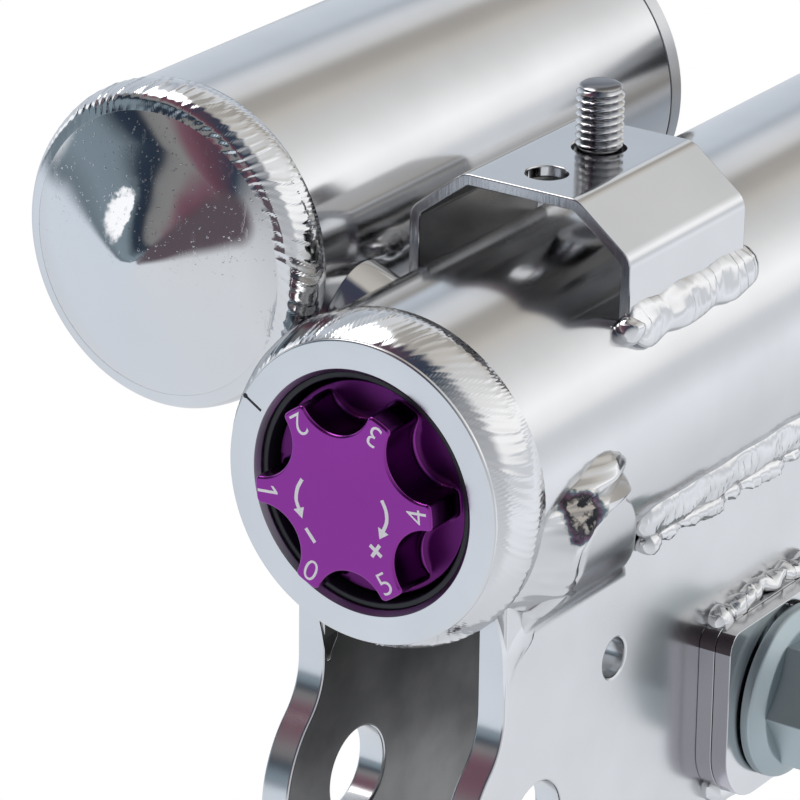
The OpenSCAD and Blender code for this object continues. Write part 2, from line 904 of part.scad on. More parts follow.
module perch_ring() {
    color(alu) difference() {
        union() {
            translate([0, 0, seat_z - seat_flange]) cylinder(r = seat_r, h = seat_flange);
            translate([0, 0, seat_z]) cylinder(r = collar_r, h = collar_h);
        }
        translate([0, 0, seat_z - seat_flange - 1])
            cylinder(r = insert_ri, h = seat_flange + collar_h + 2);
        for (k = [0 : spanner_slots - 1])
            rotate([0, 0, k * 360 / spanner_slots])
                translate([seat_r - 3.5, -3, seat_z - seat_flange - 1]) cube([6, 6, seat_flange - 1]);
    }
}

// ---------- spring ----------

wire_r = wire_d / 2;
// the wire's sides are flat, so its ring of points lies a little wider
coil_r = spring_mean * 1.03;
ring_steps = 8;
wire_rings = round(coils * ring_steps);
end_pitch = wire_d + end_gap;
coil_rise = spring_len - wire_d;
mid_pitch = (coil_rise - 2 * end_pitch) / (coils - 2);

// height of the wire's centre after n turns
function coil_z(n) =
    n < 1 ? n * end_pitch
    : n > coils - 1 ? coil_rise - (coils - n) * end_pitch
    : end_pitch + (n - 1) * mid_pitch;

function coil_at(i) = let (n = i / ring_steps)
    [coil_r * cos(360 * n), coil_r * sin(360 * n), seat_z + wire_r + coil_z(n)];

coil_centres = [for (i = [0 : wire_rings]) coil_at(i)];
coil_points = [for (i = [0 : wire_rings], k = [0 : 5])
    let (n = i / ring_steps, a = 30 + 60 * k, r = coil_r + wire_r * cos(a))
    [r * cos(360 * n), r * sin(360 * n), coil_centres[i][2] + wire_r * sin(a)]];
coil_faces = concat(
    [for (i = [0 : wire_rings - 1], k = [0 : 5])
        let (a = 6 * i + k, b = 6 * i + (k + 1) % 6) [a, a + 6, b + 6]],
    [for (i = [0 : wire_rings - 1], k = [0 : 5])
        let (a = 6 * i + k, b = 6 * i + (k + 1) % 6) [a, b + 6, b]],
    [for (k = [1 : 4]) [0, k, k + 1]],
    [for (k = [1 : 4]) [6 * wire_rings, 6 * wire_rings + k + 1, 6 * wire_rings + k]]
);
coil_gap = min([for (i = [0 : wire_rings - 6], j = [i + 6 : min(i + 10, wire_rings)])
    norm(coil_centres[i] - coil_centres[j]) - wire_d]);
echo(str("least gap between the spring's coils: ", coil_gap, " mm"));

module main_spring() {
    color(graphite) polyhedron(points = coil_points, faces = coil_faces, convexity = 10);
}

// ---------- rod ----------

module piston_rod() {
    shoulder = piston_z + piston_t;
    color(steel) difference() {
        union() {
            translate([0, 0, piston_z - 12]) cylinder(r = rod_end_r, h = shoulder - piston_z + 12);
            translate([0, 0, shoulder]) cylinder(r = rod_r, h = top_seat_z - shoulder);
            translate([0, 0, top_seat_z - eps]) cylinder(r = rod_end_r, h = rod_top - top_seat_z);
        }
        translate([0, 0, ball_z]) cylinder(r = 3, h = rod_top);
    }
}

module piston() {
    zc = piston_z + piston_t / 2;
    color(alu) difference() {
        ring(tube_ri - 0.5, rod_end_r + press_gap, piston_z, piston_z + piston_t);
        ring(tube_ri, tube_ri - 2, zc - piston_t * 0.25, zc + piston_t * 0.25);
        for (a = [0 : 60 : 300])
            rotate([0, 0, a]) translate([tube_ri * 0.6, 0, piston_z - 1])
                cylinder(r = 2.4, h = piston_t + 2);
    }
}

module piston_band() {
    zc = piston_z + piston_t / 2;
    color(ptfe) ring(tube_ri - run_gap, tube_ri - 2 + press_gap, zc - piston_t * 0.25 + 0.1,
        zc + piston_t * 0.25 - 0.1);
}

module piston_nut() {
    color(zinc) difference() {
        union() {
            translate([0, 0, piston_z - 10]) hex(22, 8.5);
            translate([0, 0, piston_z - 1.5]) cylinder(r = tube_ri * 0.75, h = 1.5);
        }
        translate([0, 0, piston_z - 11]) cylinder(r = rod_end_r + press_gap, h = 12);
    }
}

module droop_stop() {
    color(rubber) ring(rod_r + 4, rod_r + press_gap, piston_z + piston_t, gland_z - 0.5);
}

module bump_stop() {
    z1 = top_seat_z - face_gap;
    r = bump_d / 2;
    color(foam) difference() {
        translate([0, 0, z1 - bump_len]) rotate_extrude()
            polygon([
                [rod_r + 0.4, 0],
                [r - 7, 0],
                [r - 4.5, 2],
                [r - 4.5, bump_len * 0.3],
                [r - 7, bump_len * 0.4],
                [r - 2, bump_len * 0.55],
                [r, bump_len * 0.7],
                [r, bump_len],
                [rod_r + 0.4, bump_len]
            ]);
    }
}

module upper_seat() {
    color(alu) difference() {
        union() {
            translate([0, 0, top_seat_z]) cylinder(r = seat_r, h = top_seat_t);
            translate([0, 0, top_seat_z]) cylinder(r = top_hub_r, h = top_hub_t);
            ring(collar_r, bump_d / 2 + 2, top_seat_z - collar_h - pad_t, top_seat_z + 1);
        }
        translate([0, 0, top_seat_z - 1]) cylinder(r = rod_end_r + press_gap, h = top_hub_t + 2);
        for (a = [0 : 60 : 300])
            rotate([0, 0, a]) translate([(seat_r + top_hub_r) / 2, 0, top_seat_z - 1])
                cylinder(r = 5, h = top_seat_t + 2);
    }
}

module spring_pad() {
    color(rubber) ring(seat_r - 0.5, collar_r + 0.2, spring_top + press_gap, top_seat_z);
}

module bearing_ball() {
    top = nut_z - ball_z;
    low = ball_z - top_seat_z - top_hub_t;
    color(zinc) translate([0, 0, ball_z]) difference() {
        union() {
            intersection() {
                sphere(r = ball_r);
                translate([0, 0, -race_h / 2 - 1.5]) cylinder(r = ball_r + 1, h = race_h + 3);
            }
            translate([0, 0, -low]) cylinder(r = ball_sleeve_d / 2, h = low + top);
        }
        translate([0, 0, -low - 1]) cylinder(r = rod_end_r + press_gap, h = low + top + 2);
    }
}

module top_nut() {
    color(zinc) difference() {
        translate([0, 0, nut_z]) hex(nut_af, nut_h);
        translate([0, 0, nut_z - 1]) cylinder(r = rod_end_r + press_gap, h = nut_h + 2);
    }
}

module rebound_knob() {
    z0 = rod_top + face_gap;
    color(black) difference() {
        union() {
            translate([0, 0, z0]) cylinder(r = rebound_d / 2, h = rebound_h);
            translate([0, 0, ball_z + 2]) cylinder(r = 3 - run_gap, h = z0 - ball_z);
        }
        for (k = [0 : 11])
            rotate([0, 0, k * 30]) translate([rebound_d / 2 + 0.9, 0, z0 + 2])
                cylinder(r = 1.8, h = rebound_h);
    }
}

// ---------- pillow ball mount ----------

module bearing_liner() {
    color(ptfe) translate([0, 0, ball_z]) intersection() {
        difference() {
            sphere(r = liner_ro);
            sphere(r = liner_ri);
        }
        translate([0, 0, -race_h / 2 + 0.5]) cylinder(r = liner_ro + 1, h = race_h - 1);
    }
}

module bearing_race() {
    color(zinc) translate([0, 0, ball_z]) difference() {
        translate([0, 0, -race_h / 2]) cylinder(r = race_r - press_gap, h = race_h);
        sphere(r = race_ri);
    }
}

module carrier() {
    color(alu) difference() {
        union() {
            translate([-screw_x - 7, -screw_y - 8, carrier_z])
                cube([2 * screw_x + 14, 2 * screw_y + 16, carrier_t]);
            translate([0, 0, carrier_z]) cylinder(r = boss_r, h = race_h + 4);
        }
        translate([0, 0, carrier_z + 2]) cylinder(r = race_r, h = race_h + 4);
        translate([0, 0, carrier_z - 1]) cylinder(r = race_r - 3, h = 4);
        for (i = [-1, 1], j = [-1, 1])
            translate([i * screw_x, j * screw_y, carrier_z - 1])
                cylinder(r = screw_r + press_gap, h = carrier_t + 2);
    }
}

module clamp_screws() {
    color(zinc) for (i = [-1, 1], j = [-1, 1])
        translate([i * screw_x, j * screw_y, 0]) difference() {
            union() {
                translate([0, 0, carrier_z + 0.5])
                    cylinder(r = screw_r, h = plate_top_z - carrier_z + 2);
                translate([0, 0, plate_top_z + face_gap]) cylinder(r = 5.2, h = 6);
            }
            translate([0, 0, plate_top_z + face_gap + 3]) hex(5, 4);
        }
}

module top_plate() {
    long = screw_y + slide_travel + 2;
    color(alu) translate([0, 0, plate_z]) linear_extrude(height = plate_top_t) difference() {
        union() {
            circle(r = stud_pcd / 2 - 1);
            for (a = [90, 210, 330])
                rotate(a) translate([stud_pcd / 2, 0]) circle(r = 12);
        }
        translate([-boss_r - 0.4, -boss_r - slide_travel - 2])
            square([2 * boss_r + 0.8, 2 * (boss_r + slide_travel + 2)]);
        for (i = [-1, 1])
            translate([i * screw_x, 0]) rotate(90) slot2d(long, screw_r + 0.3);
        for (a = [90, 210, 330])
            rotate(a) translate([stud_pcd / 2, 0]) circle(r = top_stud_r - neck_step + press_gap);
    }
}

module top_studs() {
    neck = plate_top_t + face_gap;
    color(zinc) for (a = [90, 210, 330])
        rotate([0, 0, a]) translate([stud_pcd / 2, 0, plate_z]) union() {
            cylinder(r = top_stud_r - neck_step, h = neck + eps);
            translate([0, 0, neck])
                cylinder(r = top_stud_r, h = top_stud_out - face_gap);
        }
}

// which node to build

strut_tube();
foot_ring();
weld_foot();
bore_sleeve();
valve_body();
base_valve();
base_shims();
rod_guide();
rod_wiper();
reservoir_tube();
reservoir_cap();
weld_reservoir();
reservoir_end();
fill_valve();
floating_piston();
floating_seal();
bridge_boss();
weld_bridge();
hat_bracket();
line_stud();
weld_hat();
ear_right();
ear_left();
weld_ear_right();
weld_ear_left();
plate_inner_right();
plate_outer_right();
plate_inner_left();
plate_outer_left();
weld_plates_right();
weld_plates_left();
camber_bolt();
camber_nut();
bump_knob();
needle_stem();
perch_insert();
perch_screw();
perch_ring();
main_spring();
piston_rod();
piston();
piston_band();
piston_nut();
droop_stop();
bump_stop();
upper_seat();
spring_pad();
bearing_ball();
top_nut();
rebound_knob();
bearing_liner();
bearing_race();
carrier();
clamp_screws();
top_plate();
top_studs();
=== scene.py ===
"""Coilover strut: foot, clevis, reservoir, spring and pillow ball mount."""

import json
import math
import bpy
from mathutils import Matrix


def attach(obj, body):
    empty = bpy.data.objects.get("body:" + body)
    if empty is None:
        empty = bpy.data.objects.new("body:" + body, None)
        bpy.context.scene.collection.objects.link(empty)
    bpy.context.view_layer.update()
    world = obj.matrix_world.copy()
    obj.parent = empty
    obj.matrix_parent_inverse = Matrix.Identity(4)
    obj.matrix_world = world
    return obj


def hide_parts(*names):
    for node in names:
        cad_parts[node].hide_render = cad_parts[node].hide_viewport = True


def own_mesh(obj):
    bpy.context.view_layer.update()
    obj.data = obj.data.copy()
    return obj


bl_info = {
    "name": "Coilover Strut",
    "version": (1, 0, 0),
    "blender": (4, 5, 0),
    "location": "View3D > Sidebar > Coilover",
    "description": "Builds the finishes and fine shapes of a coilover strut on its CAD frame",
    "category": "Object",
}

import bmesh
import bpy
from bpy.props import FloatProperty, FloatVectorProperty, IntProperty, PointerProperty
from mathutils import Matrix, Vector, noise

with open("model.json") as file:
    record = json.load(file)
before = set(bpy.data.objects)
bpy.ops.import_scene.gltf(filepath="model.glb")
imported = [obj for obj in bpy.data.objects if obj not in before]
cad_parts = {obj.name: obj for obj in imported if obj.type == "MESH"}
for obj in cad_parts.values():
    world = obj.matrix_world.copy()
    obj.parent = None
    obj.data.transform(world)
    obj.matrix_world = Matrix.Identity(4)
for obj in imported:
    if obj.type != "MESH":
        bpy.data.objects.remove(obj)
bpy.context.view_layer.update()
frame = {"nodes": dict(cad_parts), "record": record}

MM = 0.001

# Places and sizes of the CAD, in mm and degrees.
TUBE_R = 27
RES = (53.01, 22.28)  # the reservoir's axis
KNOB_TOP, KNOB_TURN = -5, -5.5  # the dial's height, and how far the first lobe is turned
EARS = (("right", -1), ("left", 1))  # each with the sign of its x
EAR_X, EAR_T = 14.7, 5.2  # an ear's inner face and thickness
BEND, WRAP_R = 46.2, 31.2  # how far a tongue bends, and the outer radius of its wrap
BOLT_Y, LOW_BOLT_Z, BOLT_Z = -60.8, 21.5, 90
PLATE_Y, PLATE_Z, PLATE_R = 32.5, 37, 10  # a slotted plate's width, height and large corner
STUD = (0, 37.7, 67.5)  # on the line bracket's outer face
HAT_T = 2  # the line bracket's sheet


# ---------- shaping ----------


def deselect():
    """Leaves edit mode with nothing selected."""
    if bpy.context.mode != "OBJECT":
        bpy.ops.object.mode_set(mode="OBJECT")
    bpy.ops.object.select_all(action="DESELECT")


def only(obj):
    """Selects one piece alone and makes it the active one."""
    deselect()
    obj.select_set(True)
    bpy.context.view_layer.objects.active = obj
    return obj


def edit_all():
    """Opens the active piece in edit mode, all of it selected."""
    bpy.ops.object.mode_set(mode="EDIT")
    bpy.ops.mesh.select_all(action="SELECT")


def close_up(obj, gap=0.003):
    """Merges doubled points and turns every face outwards."""
    only(obj)
    edit_all()
    bpy.ops.mesh.remove_doubles(threshold=gap * MM)
    bpy.ops.mesh.normals_make_consistent(inside=False)
    bpy.ops.object.mode_set(mode="OBJECT")
    return obj


def placed(obj, at=(0, 0, 0), turn=(0, 0, 0)):
    """Turns the piece in degrees about the axes, moves it in mm, and keeps both in its mesh."""
    only(obj)
    obj.rotation_euler = [math.radians(a) for a in turn]
    obj.location = [c * MM for c in at]
    bpy.ops.object.transform_apply(location=True, rotation=True, scale=True)
    return obj


def eased(points, steps=4):
    """Points (x, y) or (x, y, radius) in mm, whose corners with a radius become arcs."""
    out = []
    for i, p in enumerate(points):
        r = p[2] if len(p) > 2 else 0
        q = Vector(p[:2])
        if not r:
            out.append(tuple(q))
            continue
        a = Vector(points[i - 1][:2]) - q
        b = Vector(points[(i + 1) % len(points)][:2]) - q
        half = a.angle(b) / 2
        reach = min(r / math.tan(half), a.length * 0.49, b.length * 0.49)
        r = reach * math.tan(half)
        mid = q + (a.normalized() + b.normalized()).normalized() * (r / math.sin(half))
        start = q + a.normalized() * reach - mid
        end = q + b.normalized() * reach - mid
        sweep = math.atan2(start.x * end.y - start.y * end.x, start.dot(end))
        for k in range(steps + 1):
            t = sweep * k / steps
            c, s = math.cos(t), math.sin(t)
            out.append((mid.x + start.x * c - start.y * s, mid.y + start.x * s + start.y * c))
    return out


def turned(profile, steps=128, at=(0, 0, 0)):
    """A lathe piece: a ring extruded and resized along its profile of (radius, height) in mm."""
    deselect()
    r, z = profile[0]
    bpy.ops.mesh.primitive_circle_add(vertices=steps, radius=r * MM, location=(0, 0, z * MM))
    bpy.ops.object.transform_apply(location=True, rotation=True, scale=True)
    obj = bpy.context.object
    edit_all()
    for (r0, z0), (r1, z1) in zip(profile, profile[1:]):
        bpy.ops.mesh.extrude_region_move(
            TRANSFORM_OT_translate={"value": (0, 0, (z1 - z0) * MM), "orient_type": "GLOBAL"}
        )
        if abs(r1 - r0) > 1e-6:
            bpy.ops.transform.resize(
                value=(r1 / r0, r1 / r0, 1), center_override=(0, 0, z1 * MM)
            )
    bpy.ops.object.mode_set(mode="OBJECT")
    return close_up(placed(obj, at))


def looped(profile):
    """Closes a profile onto its first point."""
    return profile + profile[:1]


def slab(outline, depth, at=(0, 0, 0)):
    """A sheet or block: an outline in mm, filled and extruded by its depth."""
    deselect()
    bpy.ops.mesh.primitive_circle_add(vertices=len(outline), radius=MM, fill_type="NGON")
    obj = bpy.context.object
    for v, (x, y) in zip(obj.data.vertices, outline):
        v.co = (x * MM, y * MM, 0)
    edit_all()
    bpy.ops.mesh.extrude_region_move(
        TRANSFORM_OT_translate={"value": (0, 0, depth * MM), "orient_type": "GLOBAL"}
    )
    bpy.ops.object.mode_set(mode="OBJECT")
    close_up(obj, 0.0005)
    return placed(obj, at)


def sheet_yz(outlines, side, x, t, edge):
    """A sheet in the YZ plane from x outwards to x + t: an outline and its holes, edges round."""
    deselect()
    curve = bpy.data.curves.new("sheet", "CURVE")
    curve.dimensions = "2D"
    curve.fill_mode = "BOTH"
    for outline in outlines:
        line = curve.splines.new("POLY")
        line.points.add(len(outline) - 1)
        for point, (y, z) in zip(line.points, outline):
            point.co = (y * MM, z * MM, 0, 1)
        line.use_cyclic_u = True
    curve.extrude = (t / 2 - edge) * MM
    curve.bevel_depth = edge * MM
    curve.bevel_resolution = 2
    curve.offset = -edge * MM
    obj = bpy.data.objects.new("sheet", curve)
    bpy.context.scene.collection.objects.link(obj)
    only(obj)
    bpy.ops.object.convert(target="MESH")
    obj = placed(bpy.context.object, (0, 0, t / 2))
    close_up(obj, 0.0008)
    start = x if side > 0 else -x - t
    obj.data.transform(Matrix(((0, 0, 1, start * MM), (1, 0, 0, 0), (0, 1, 0, 0), (0, 0, 0, 1))))
    return obj


def rod(r, z0, z1, at=(0, 0, 0), turn=(0, 0, 0), steps=96):
    """A round bar along Z from z0 to z1, turned and moved, which also serves as a drill."""
    deselect()
    bpy.ops.mesh.primitive_cylinder_add(
        vertices=steps, radius=r * MM, depth=(z1 - z0) * MM, location=(0, 0, (z0 + z1) / 2 * MM)
    )
    obj = bpy.context.object
    bpy.ops.object.transform_apply(location=True, rotation=True, scale=True)
    return placed(obj, at, turn)


def joined_by(obj, tool, how="DIFFERENCE"):
    """Cuts, adds or keeps the part shared with another piece, which is used up."""
    only(obj)
    m = obj.modifiers.new("Cut", "BOOLEAN")
    m.operation = how
    m.solver = "EXACT"
    m.object = tool
    bpy.ops.object.modifier_apply(modifier=m.name)
    bpy.data.objects.remove(tool)
    return obj


def edged(obj, width, steps=2, angle=35, spare=None):
    """Rounds the edges sharper than an angle, but for those whose ends a test in mm spares."""
    only(obj)
    mesh = bmesh.new()
    mesh.from_mesh(obj.data)
    weight = mesh.edges.layers.float.new("bevel_weight_edge")
    for e in mesh.edges:
        if len(e.link_faces) == 2 and e.calc_face_angle() > math.radians(angle):
            e[weight] = 0 if spare and all(spare(v.co / MM) for v in e.verts) else 1
    mesh.to_mesh(obj.data)
    mesh.free()
    m = obj.modifiers.new("Edges", "BEVEL")
    m.width = width * MM
    m.segments = steps
    m.limit_method = "WEIGHT"
    m.use_clamp_overlap = False
    bpy.ops.object.modifier_apply(modifier=m.name)
    return obj


def tube_drill(gap):
    """A drill as wide as the strut tube and a gap round it."""
    return rod(TUBE_R + gap, -20, 200, steps=look().tube_steps)


def on_tube(point):
    """Whether a point in mm lies on the strut tube's face."""
    return math.hypot(point.x, point.y) < TUBE_R + 0.12


def faired(obj):
    """Smooth shading that keeps flat faces flat."""
    only(obj)
    bpy.ops.object.shade_smooth()
    m = obj.modifiers.new("Fair", "WEIGHTED_NORMAL")
    m.weight = 90
    bpy.ops.object.modifier_apply(modifier=m.name)
    return obj


def merged(objs):
    """Joins several pieces into the first."""
    deselect()
    for o in objs:
        o.select_set(True)
    bpy.context.view_layer.objects.active = objs[0]
    bpy.ops.object.join()
    return objs[0]


def lofted(rows):
    """A closed skin over rows of points in mm, each row running round the piece."""
    count, last = len(rows[0]), len(rows) - 1
    deselect()
    bpy.ops.mesh.primitive_grid_add(x_subdivisions=count, y_subdivisions=last, size=1)
    obj = bpy.context.object
    for v in obj.data.vertices:
        j = round((v.co.x + 0.5) * count) % count
        i = round((v.co.y + 0.5) * last)
        v.co = Vector(rows[i][j]) * MM
    edit_all()
    bpy.ops.mesh.remove_doubles(threshold=0.001 * MM)
    bpy.ops.mesh.select_all(action="DESELECT")
    bpy.ops.mesh.select_mode(type="EDGE")
    bpy.ops.mesh.select_non_manifold()
    bpy.ops.mesh.edge_face_add()
    bpy.ops.mesh.select_all(action="SELECT")
    bpy.ops.mesh.normals_make_consistent(inside=False)
    bpy.ops.object.mode_set(mode="OBJECT")
    return obj


def settle(obj, name, body, finish, nodes=(), angle=32):
    """Names a finished piece, shades it, gives it its body and finish, and hides the CAD nodes it
    stands for.
    """
    only(obj)
    if angle:
        bpy.ops.object.shade_smooth_by_angle(angle=math.radians(angle))
    obj.name = name
    obj.data.name = name
    obj.data.materials.clear()
    obj.data.materials.append(finish)
    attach(obj, body)
    if nodes:
        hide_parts(*nodes)
    return obj


def two_tone(obj, test, finish):
    """Gives the faces that pass a test of (centre in mm, normal) one more finish."""
    obj.data.materials.append(finish)
    for face in obj.data.polygons:
        if test(face.center / MM, face.normal):
            face.material_index = len(obj.data.materials) - 1


def smooth_path(points, per):
    """A Catmull-Rom run through points of any length of tuple."""
    out = []
    n = len(points)
    for i in range(n - 1):
        p = [points[max(i - 1, 0)], points[i], points[i + 1], points[min(i + 2, n - 1)]]
        for k in range(per):
            t = k / per
            w = (
                -0.5 * t + t * t - 0.5 * t**3,
                1 - 2.5 * t * t + 1.5 * t**3,
                0.5 * t + 2 * t * t - 1.5 * t**3,
                -0.5 * t * t + 0.5 * t**3,
            )
            out.append(tuple(sum(w[j] * p[j][c] for j in range(4)) for c in range(len(p[0]))))
    out.append(tuple(points[-1]))
    return out


def eased_share(t):
    """A share from 0 to 1 that starts and ends softly."""
    return t * t * (3 - 2 * t)


def ripple(run, s, pitch, seed, peak=0.68, sweep=(3.4, 5.0)):
    """Height from 0 to 1 of a weld's ripples: thin steps that hook forward at the peak of s."""
    lag = (peak - s) / peak if s < peak else (s - peak) / (1 - peak)
    lag = lag**1.35 * sweep[0 if s < peak else 1]
    wander = noise.noise(Vector((run * 0.09, s * 1.3, seed))) * 1.3
    t = (run + lag) / pitch + wander
    f = t - math.floor(t)
    deep = max(0.1, 0.6 + 1.2 * noise.noise(Vector((math.floor(t) * 0.73, s * 1.6, seed))))
    return deep * (0.45 * f + 0.55 * math.exp(-(((f - 0.8) / 0.16) ** 2)))


def at_share(path, s):
    """The point that a share s of a path's steps leads to, and the way of the step there."""
    f = s * (len(path) - 1)
    n = min(int(f), len(path) - 2)
    p, q = Vector(path[n]), Vector(path[n + 1])
    return p.lerp(q, f - n), q - p


def ring_bead(section, pitch, rise, seed, sweep, at=(0, 0), calm=None,
              inner=4, steps=1800, rows=20):
    """A weld bead round a tube.

    section runs over its outer face as (radius, height) in mm. calm is (degrees, half width,
    section): a stretch that was ground flush.
    """
    outer = smooth_path(section, 6)
    still = smooth_path(calm[2], 6) if calm else []
    deselect()
    count = rows + inner
    bpy.ops.mesh.primitive_grid_add(x_subdivisions=steps, y_subdivisions=count, size=1)
    obj = bpy.context.object
    radius = sum(p[0] for p in section) / len(section)
    a, b = Vector(outer[0]), Vector(outer[-1])
    low = Vector((min(a.x, b.x) - 0.8, (a.y + b.y) / 2))
    for v in obj.data.vertices:
        i = round((v.co.x + 0.5) * steps) % steps
        j = round((v.co.y + 0.5) * count) % count
        th = 2 * math.pi * i / steps
        if j < rows:
            s = j / (rows - 1)
            spot, way = at_share(outer, s)
            out = Vector((way.y, -way.x)).normalized()
            if out.x < 0:
                out = -out
            env = min(1, 4 * s * (1 - s) * 2.2)
            wide = noise.noise(Vector((math.cos(th) * 4, math.sin(th) * 4, seed + s * 1.5)))
            high = rise * (ripple(th * radius, s, pitch, seed, sweep=sweep) - 0.5 + 0.9 * wide)
            spot = spot + out * env * high
            if calm:
                off = abs(math.remainder(math.degrees(th) - calm[0], 360))
                t = min(1, max(0, (off - calm[1]) / 45))
                spot = at_share(still, s)[0].lerp(spot, eased_share(t))
        else:
            t = (j - rows + 1) / (inner + 1)
            spot = b.lerp(low, min(1, 2 * t)) if t < 0.5 else low.lerp(a, 2 * t - 1)
        v.co = (
            (at[0] + spot.x * math.cos(th)) * MM,
            (at[1] + spot.x * math.sin(th)) * MM,
            spot.y * MM,
        )
    return close_up(obj, 0.001)


def run_bead(stations, pitch, rise, seed=1.0, steps=260, rows=20, depth=1.2):
    """A weld bead along a path of (x, y, z, half width, height, out x, out y, out z)."""
    path = smooth_path(stations, 10)
    deselect()
    bpy.ops.mesh.primitive_uv_sphere_add(segments=rows, ring_count=steps, radius=1)
    obj = bpy.context.object
    spots = [Vector(p[:3]) for p in path]
    length = [0.0]
    for p, q in zip(spots, spots[1:]):
        length.append(length[-1] + (q - p).length)
    whole = length[-1]
    for v in obj.data.vertices:
        turn = math.atan2(v.co.y, v.co.x)
        far = math.acos(max(-1, min(1, v.co.z))) / math.pi * whole
        n = 0
        while n < len(length) - 2 and length[n + 1] < far:
            n += 1
        t = (far - length[n]) / max(1e-9, length[n + 1] - length[n])
        here = [a + (b - a) * t for a, b in zip(path[n], path[n + 1])]
        along = (spots[min(n + 2, len(spots) - 1)] - spots[max(n - 1, 0)]).normalized()
        out = Vector(here[5:8]).normalized()
        side = along.cross(out).normalized()
        out = side.cross(along).normalized()
        edge = min(far, whole - far)
        cap = math.sqrt(max(0.0, 1 - (1 - min(1, edge / here[3])) ** 2))
        c, s = math.cos(turn), math.sin(turn)
        high = here[4] * s if s > 0 else depth * s
        if s > 0:
            uneven = 1 + 0.3 * noise.noise(Vector((far * 0.2, c * 2, seed)))
            scale = ripple(far, (c + 1) / 2, pitch, seed, 0.5, (2, 2)) - 0.5
            high = high * uneven + rise * s * scale
        spot = Vector(here[:3]) + (side * (here[3] * c) + out * high) * cap
        v.co = spot * MM
    return close_up(obj, 0.001)


# ---------- finishes ----------


class Nodes:
    """A short way to write a material's node tree."""

    def __init__(self, name, world=False):
        self.home = bpy.data.worlds.new(name) if world else bpy.data.materials.new(name)
        self.home.use_nodes = True
        self.tree = self.home.node_tree
        if world:
            self.shader = self.tree.nodes["Background"]
        else:
            self.shader = self.tree.nodes["Principled BSDF"]
            self.coord = self.tree.nodes.new("ShaderNodeTexCoord").outputs["Object"]

    def link(self, value, socket):
        if isinstance(value, bpy.types.NodeSocket):
            self.tree.links.new(value, socket)
        else:
            if socket.type == "RGBA" and len(value) == 3:
                value = (*value, 1)
            socket.default_value = value

    def add(self, kind, out=0, props=(), **sockets):
        node = self.tree.nodes.new("ShaderNode" + kind)
        for key, value in dict(props).items():
            setattr(node, key, value)
        for key, value in sockets.items():
            key = int(key[1:]) if key[0] == "_" and key[1:].isdigit() else key.replace("_", " ")
            self.link(value, node.inputs[key])
        return node.outputs[out]

    def math(self, how, a, b=0.0, c=0.0, clamp=False):
        return self.add("Math", props={"operation": how, "use_clamp": clamp}, _0=a, _1=b, _2=c)

    def ramp(self, fac, stops, smooth=False):
        node = self.tree.nodes.new("ShaderNodeValToRGB")
        node.color_ramp.interpolation = "EASE" if smooth else "LINEAR"
        el = node.color_ramp.elements
        while len(el) > 1:
            el.remove(el[-1])
        for k, (pos, col) in enumerate(stops):
            e = el[0] if k == 0 else el.new(pos)
            e.position = pos
            e.color = (*col, 1) if len(col) == 3 else (col[0], col[0], col[0], 1)
        self.link(fac, node.inputs[0])
        return node.outputs[0]

    def vector(self, how, *values):
        """A vector operation; a length or a dot product comes out as a number."""
        out = 1 if how in ("LENGTH", "DOT_PRODUCT") else 0
        return self.add("VectorMath", out, {"operation": how},
                        **{f"_{k}": value for k, value in enumerate(values)})

    def mix(self, fac, a, b):
        node = self.tree.nodes.new("ShaderNodeMix")
        node.data_type = "RGBA"
        self.link(fac, node.inputs[0])
        self.link(a, node.inputs[6])
        self.link(b, node.inputs[7])
        return node.outputs[2]

    def scaled(self, scale, turn=(0, 0, 0)):
        return self.add("Mapping", Vector=self.coord, Scale=scale, Rotation=turn)

    def noise(self, scale, vector=None, detail=3.0, rough=0.5):
        return self.add(
            "TexNoise", Vector=vector or self.coord, Scale=scale, Detail=detail, Roughness=rough
        )

    def bump(self, height, strength, distance, normal=None):
        sockets = {"Height": height, "Strength": strength, "Distance": distance}
        if normal:
            sockets["Normal"] = normal
        return self.add("Bump", **sockets)

    def set(self, **sockets):
        for key, value in sockets.items():
            self.link(value, self.shader.inputs[key.replace("_", " ")])
        return self.home


def metal(name, colour, rough, spread=0.04, grain=(1, 1, 1), scale=400, depth=10, tint=None,
          spot=None):
    """Metal with uneven polish, fine grain along one way, a little mottling, maybe a heat tint.

    depth is the grain's, in microns; tint is the mottling's other colour; spot is where the
    heat tint sits, in mm.
    """
    n = Nodes(name)
    broad = n.noise(55, detail=4)
    fine = n.noise(scale, n.scaled(grain), detail=5, rough=0.6)
    polish = n.math("MULTIPLY_ADD", broad, spread, rough - spread / 2)
    polish = n.math("MULTIPLY_ADD", fine, spread * 0.8, polish)
    patches = n.ramp(broad, [(0.35, (0,)), (0.7, (1,))])
    shade = n.mix(patches, colour, tint or [c * 0.94 for c in colour])
    if spot:
        shade = heat_tint(n, shade, spot)
    bump = n.bump(fine, 0.5, depth * 1e-6)
    return n.set(Base_Color=shade, Metallic=1.0, Roughness=polish, Normal=bump)


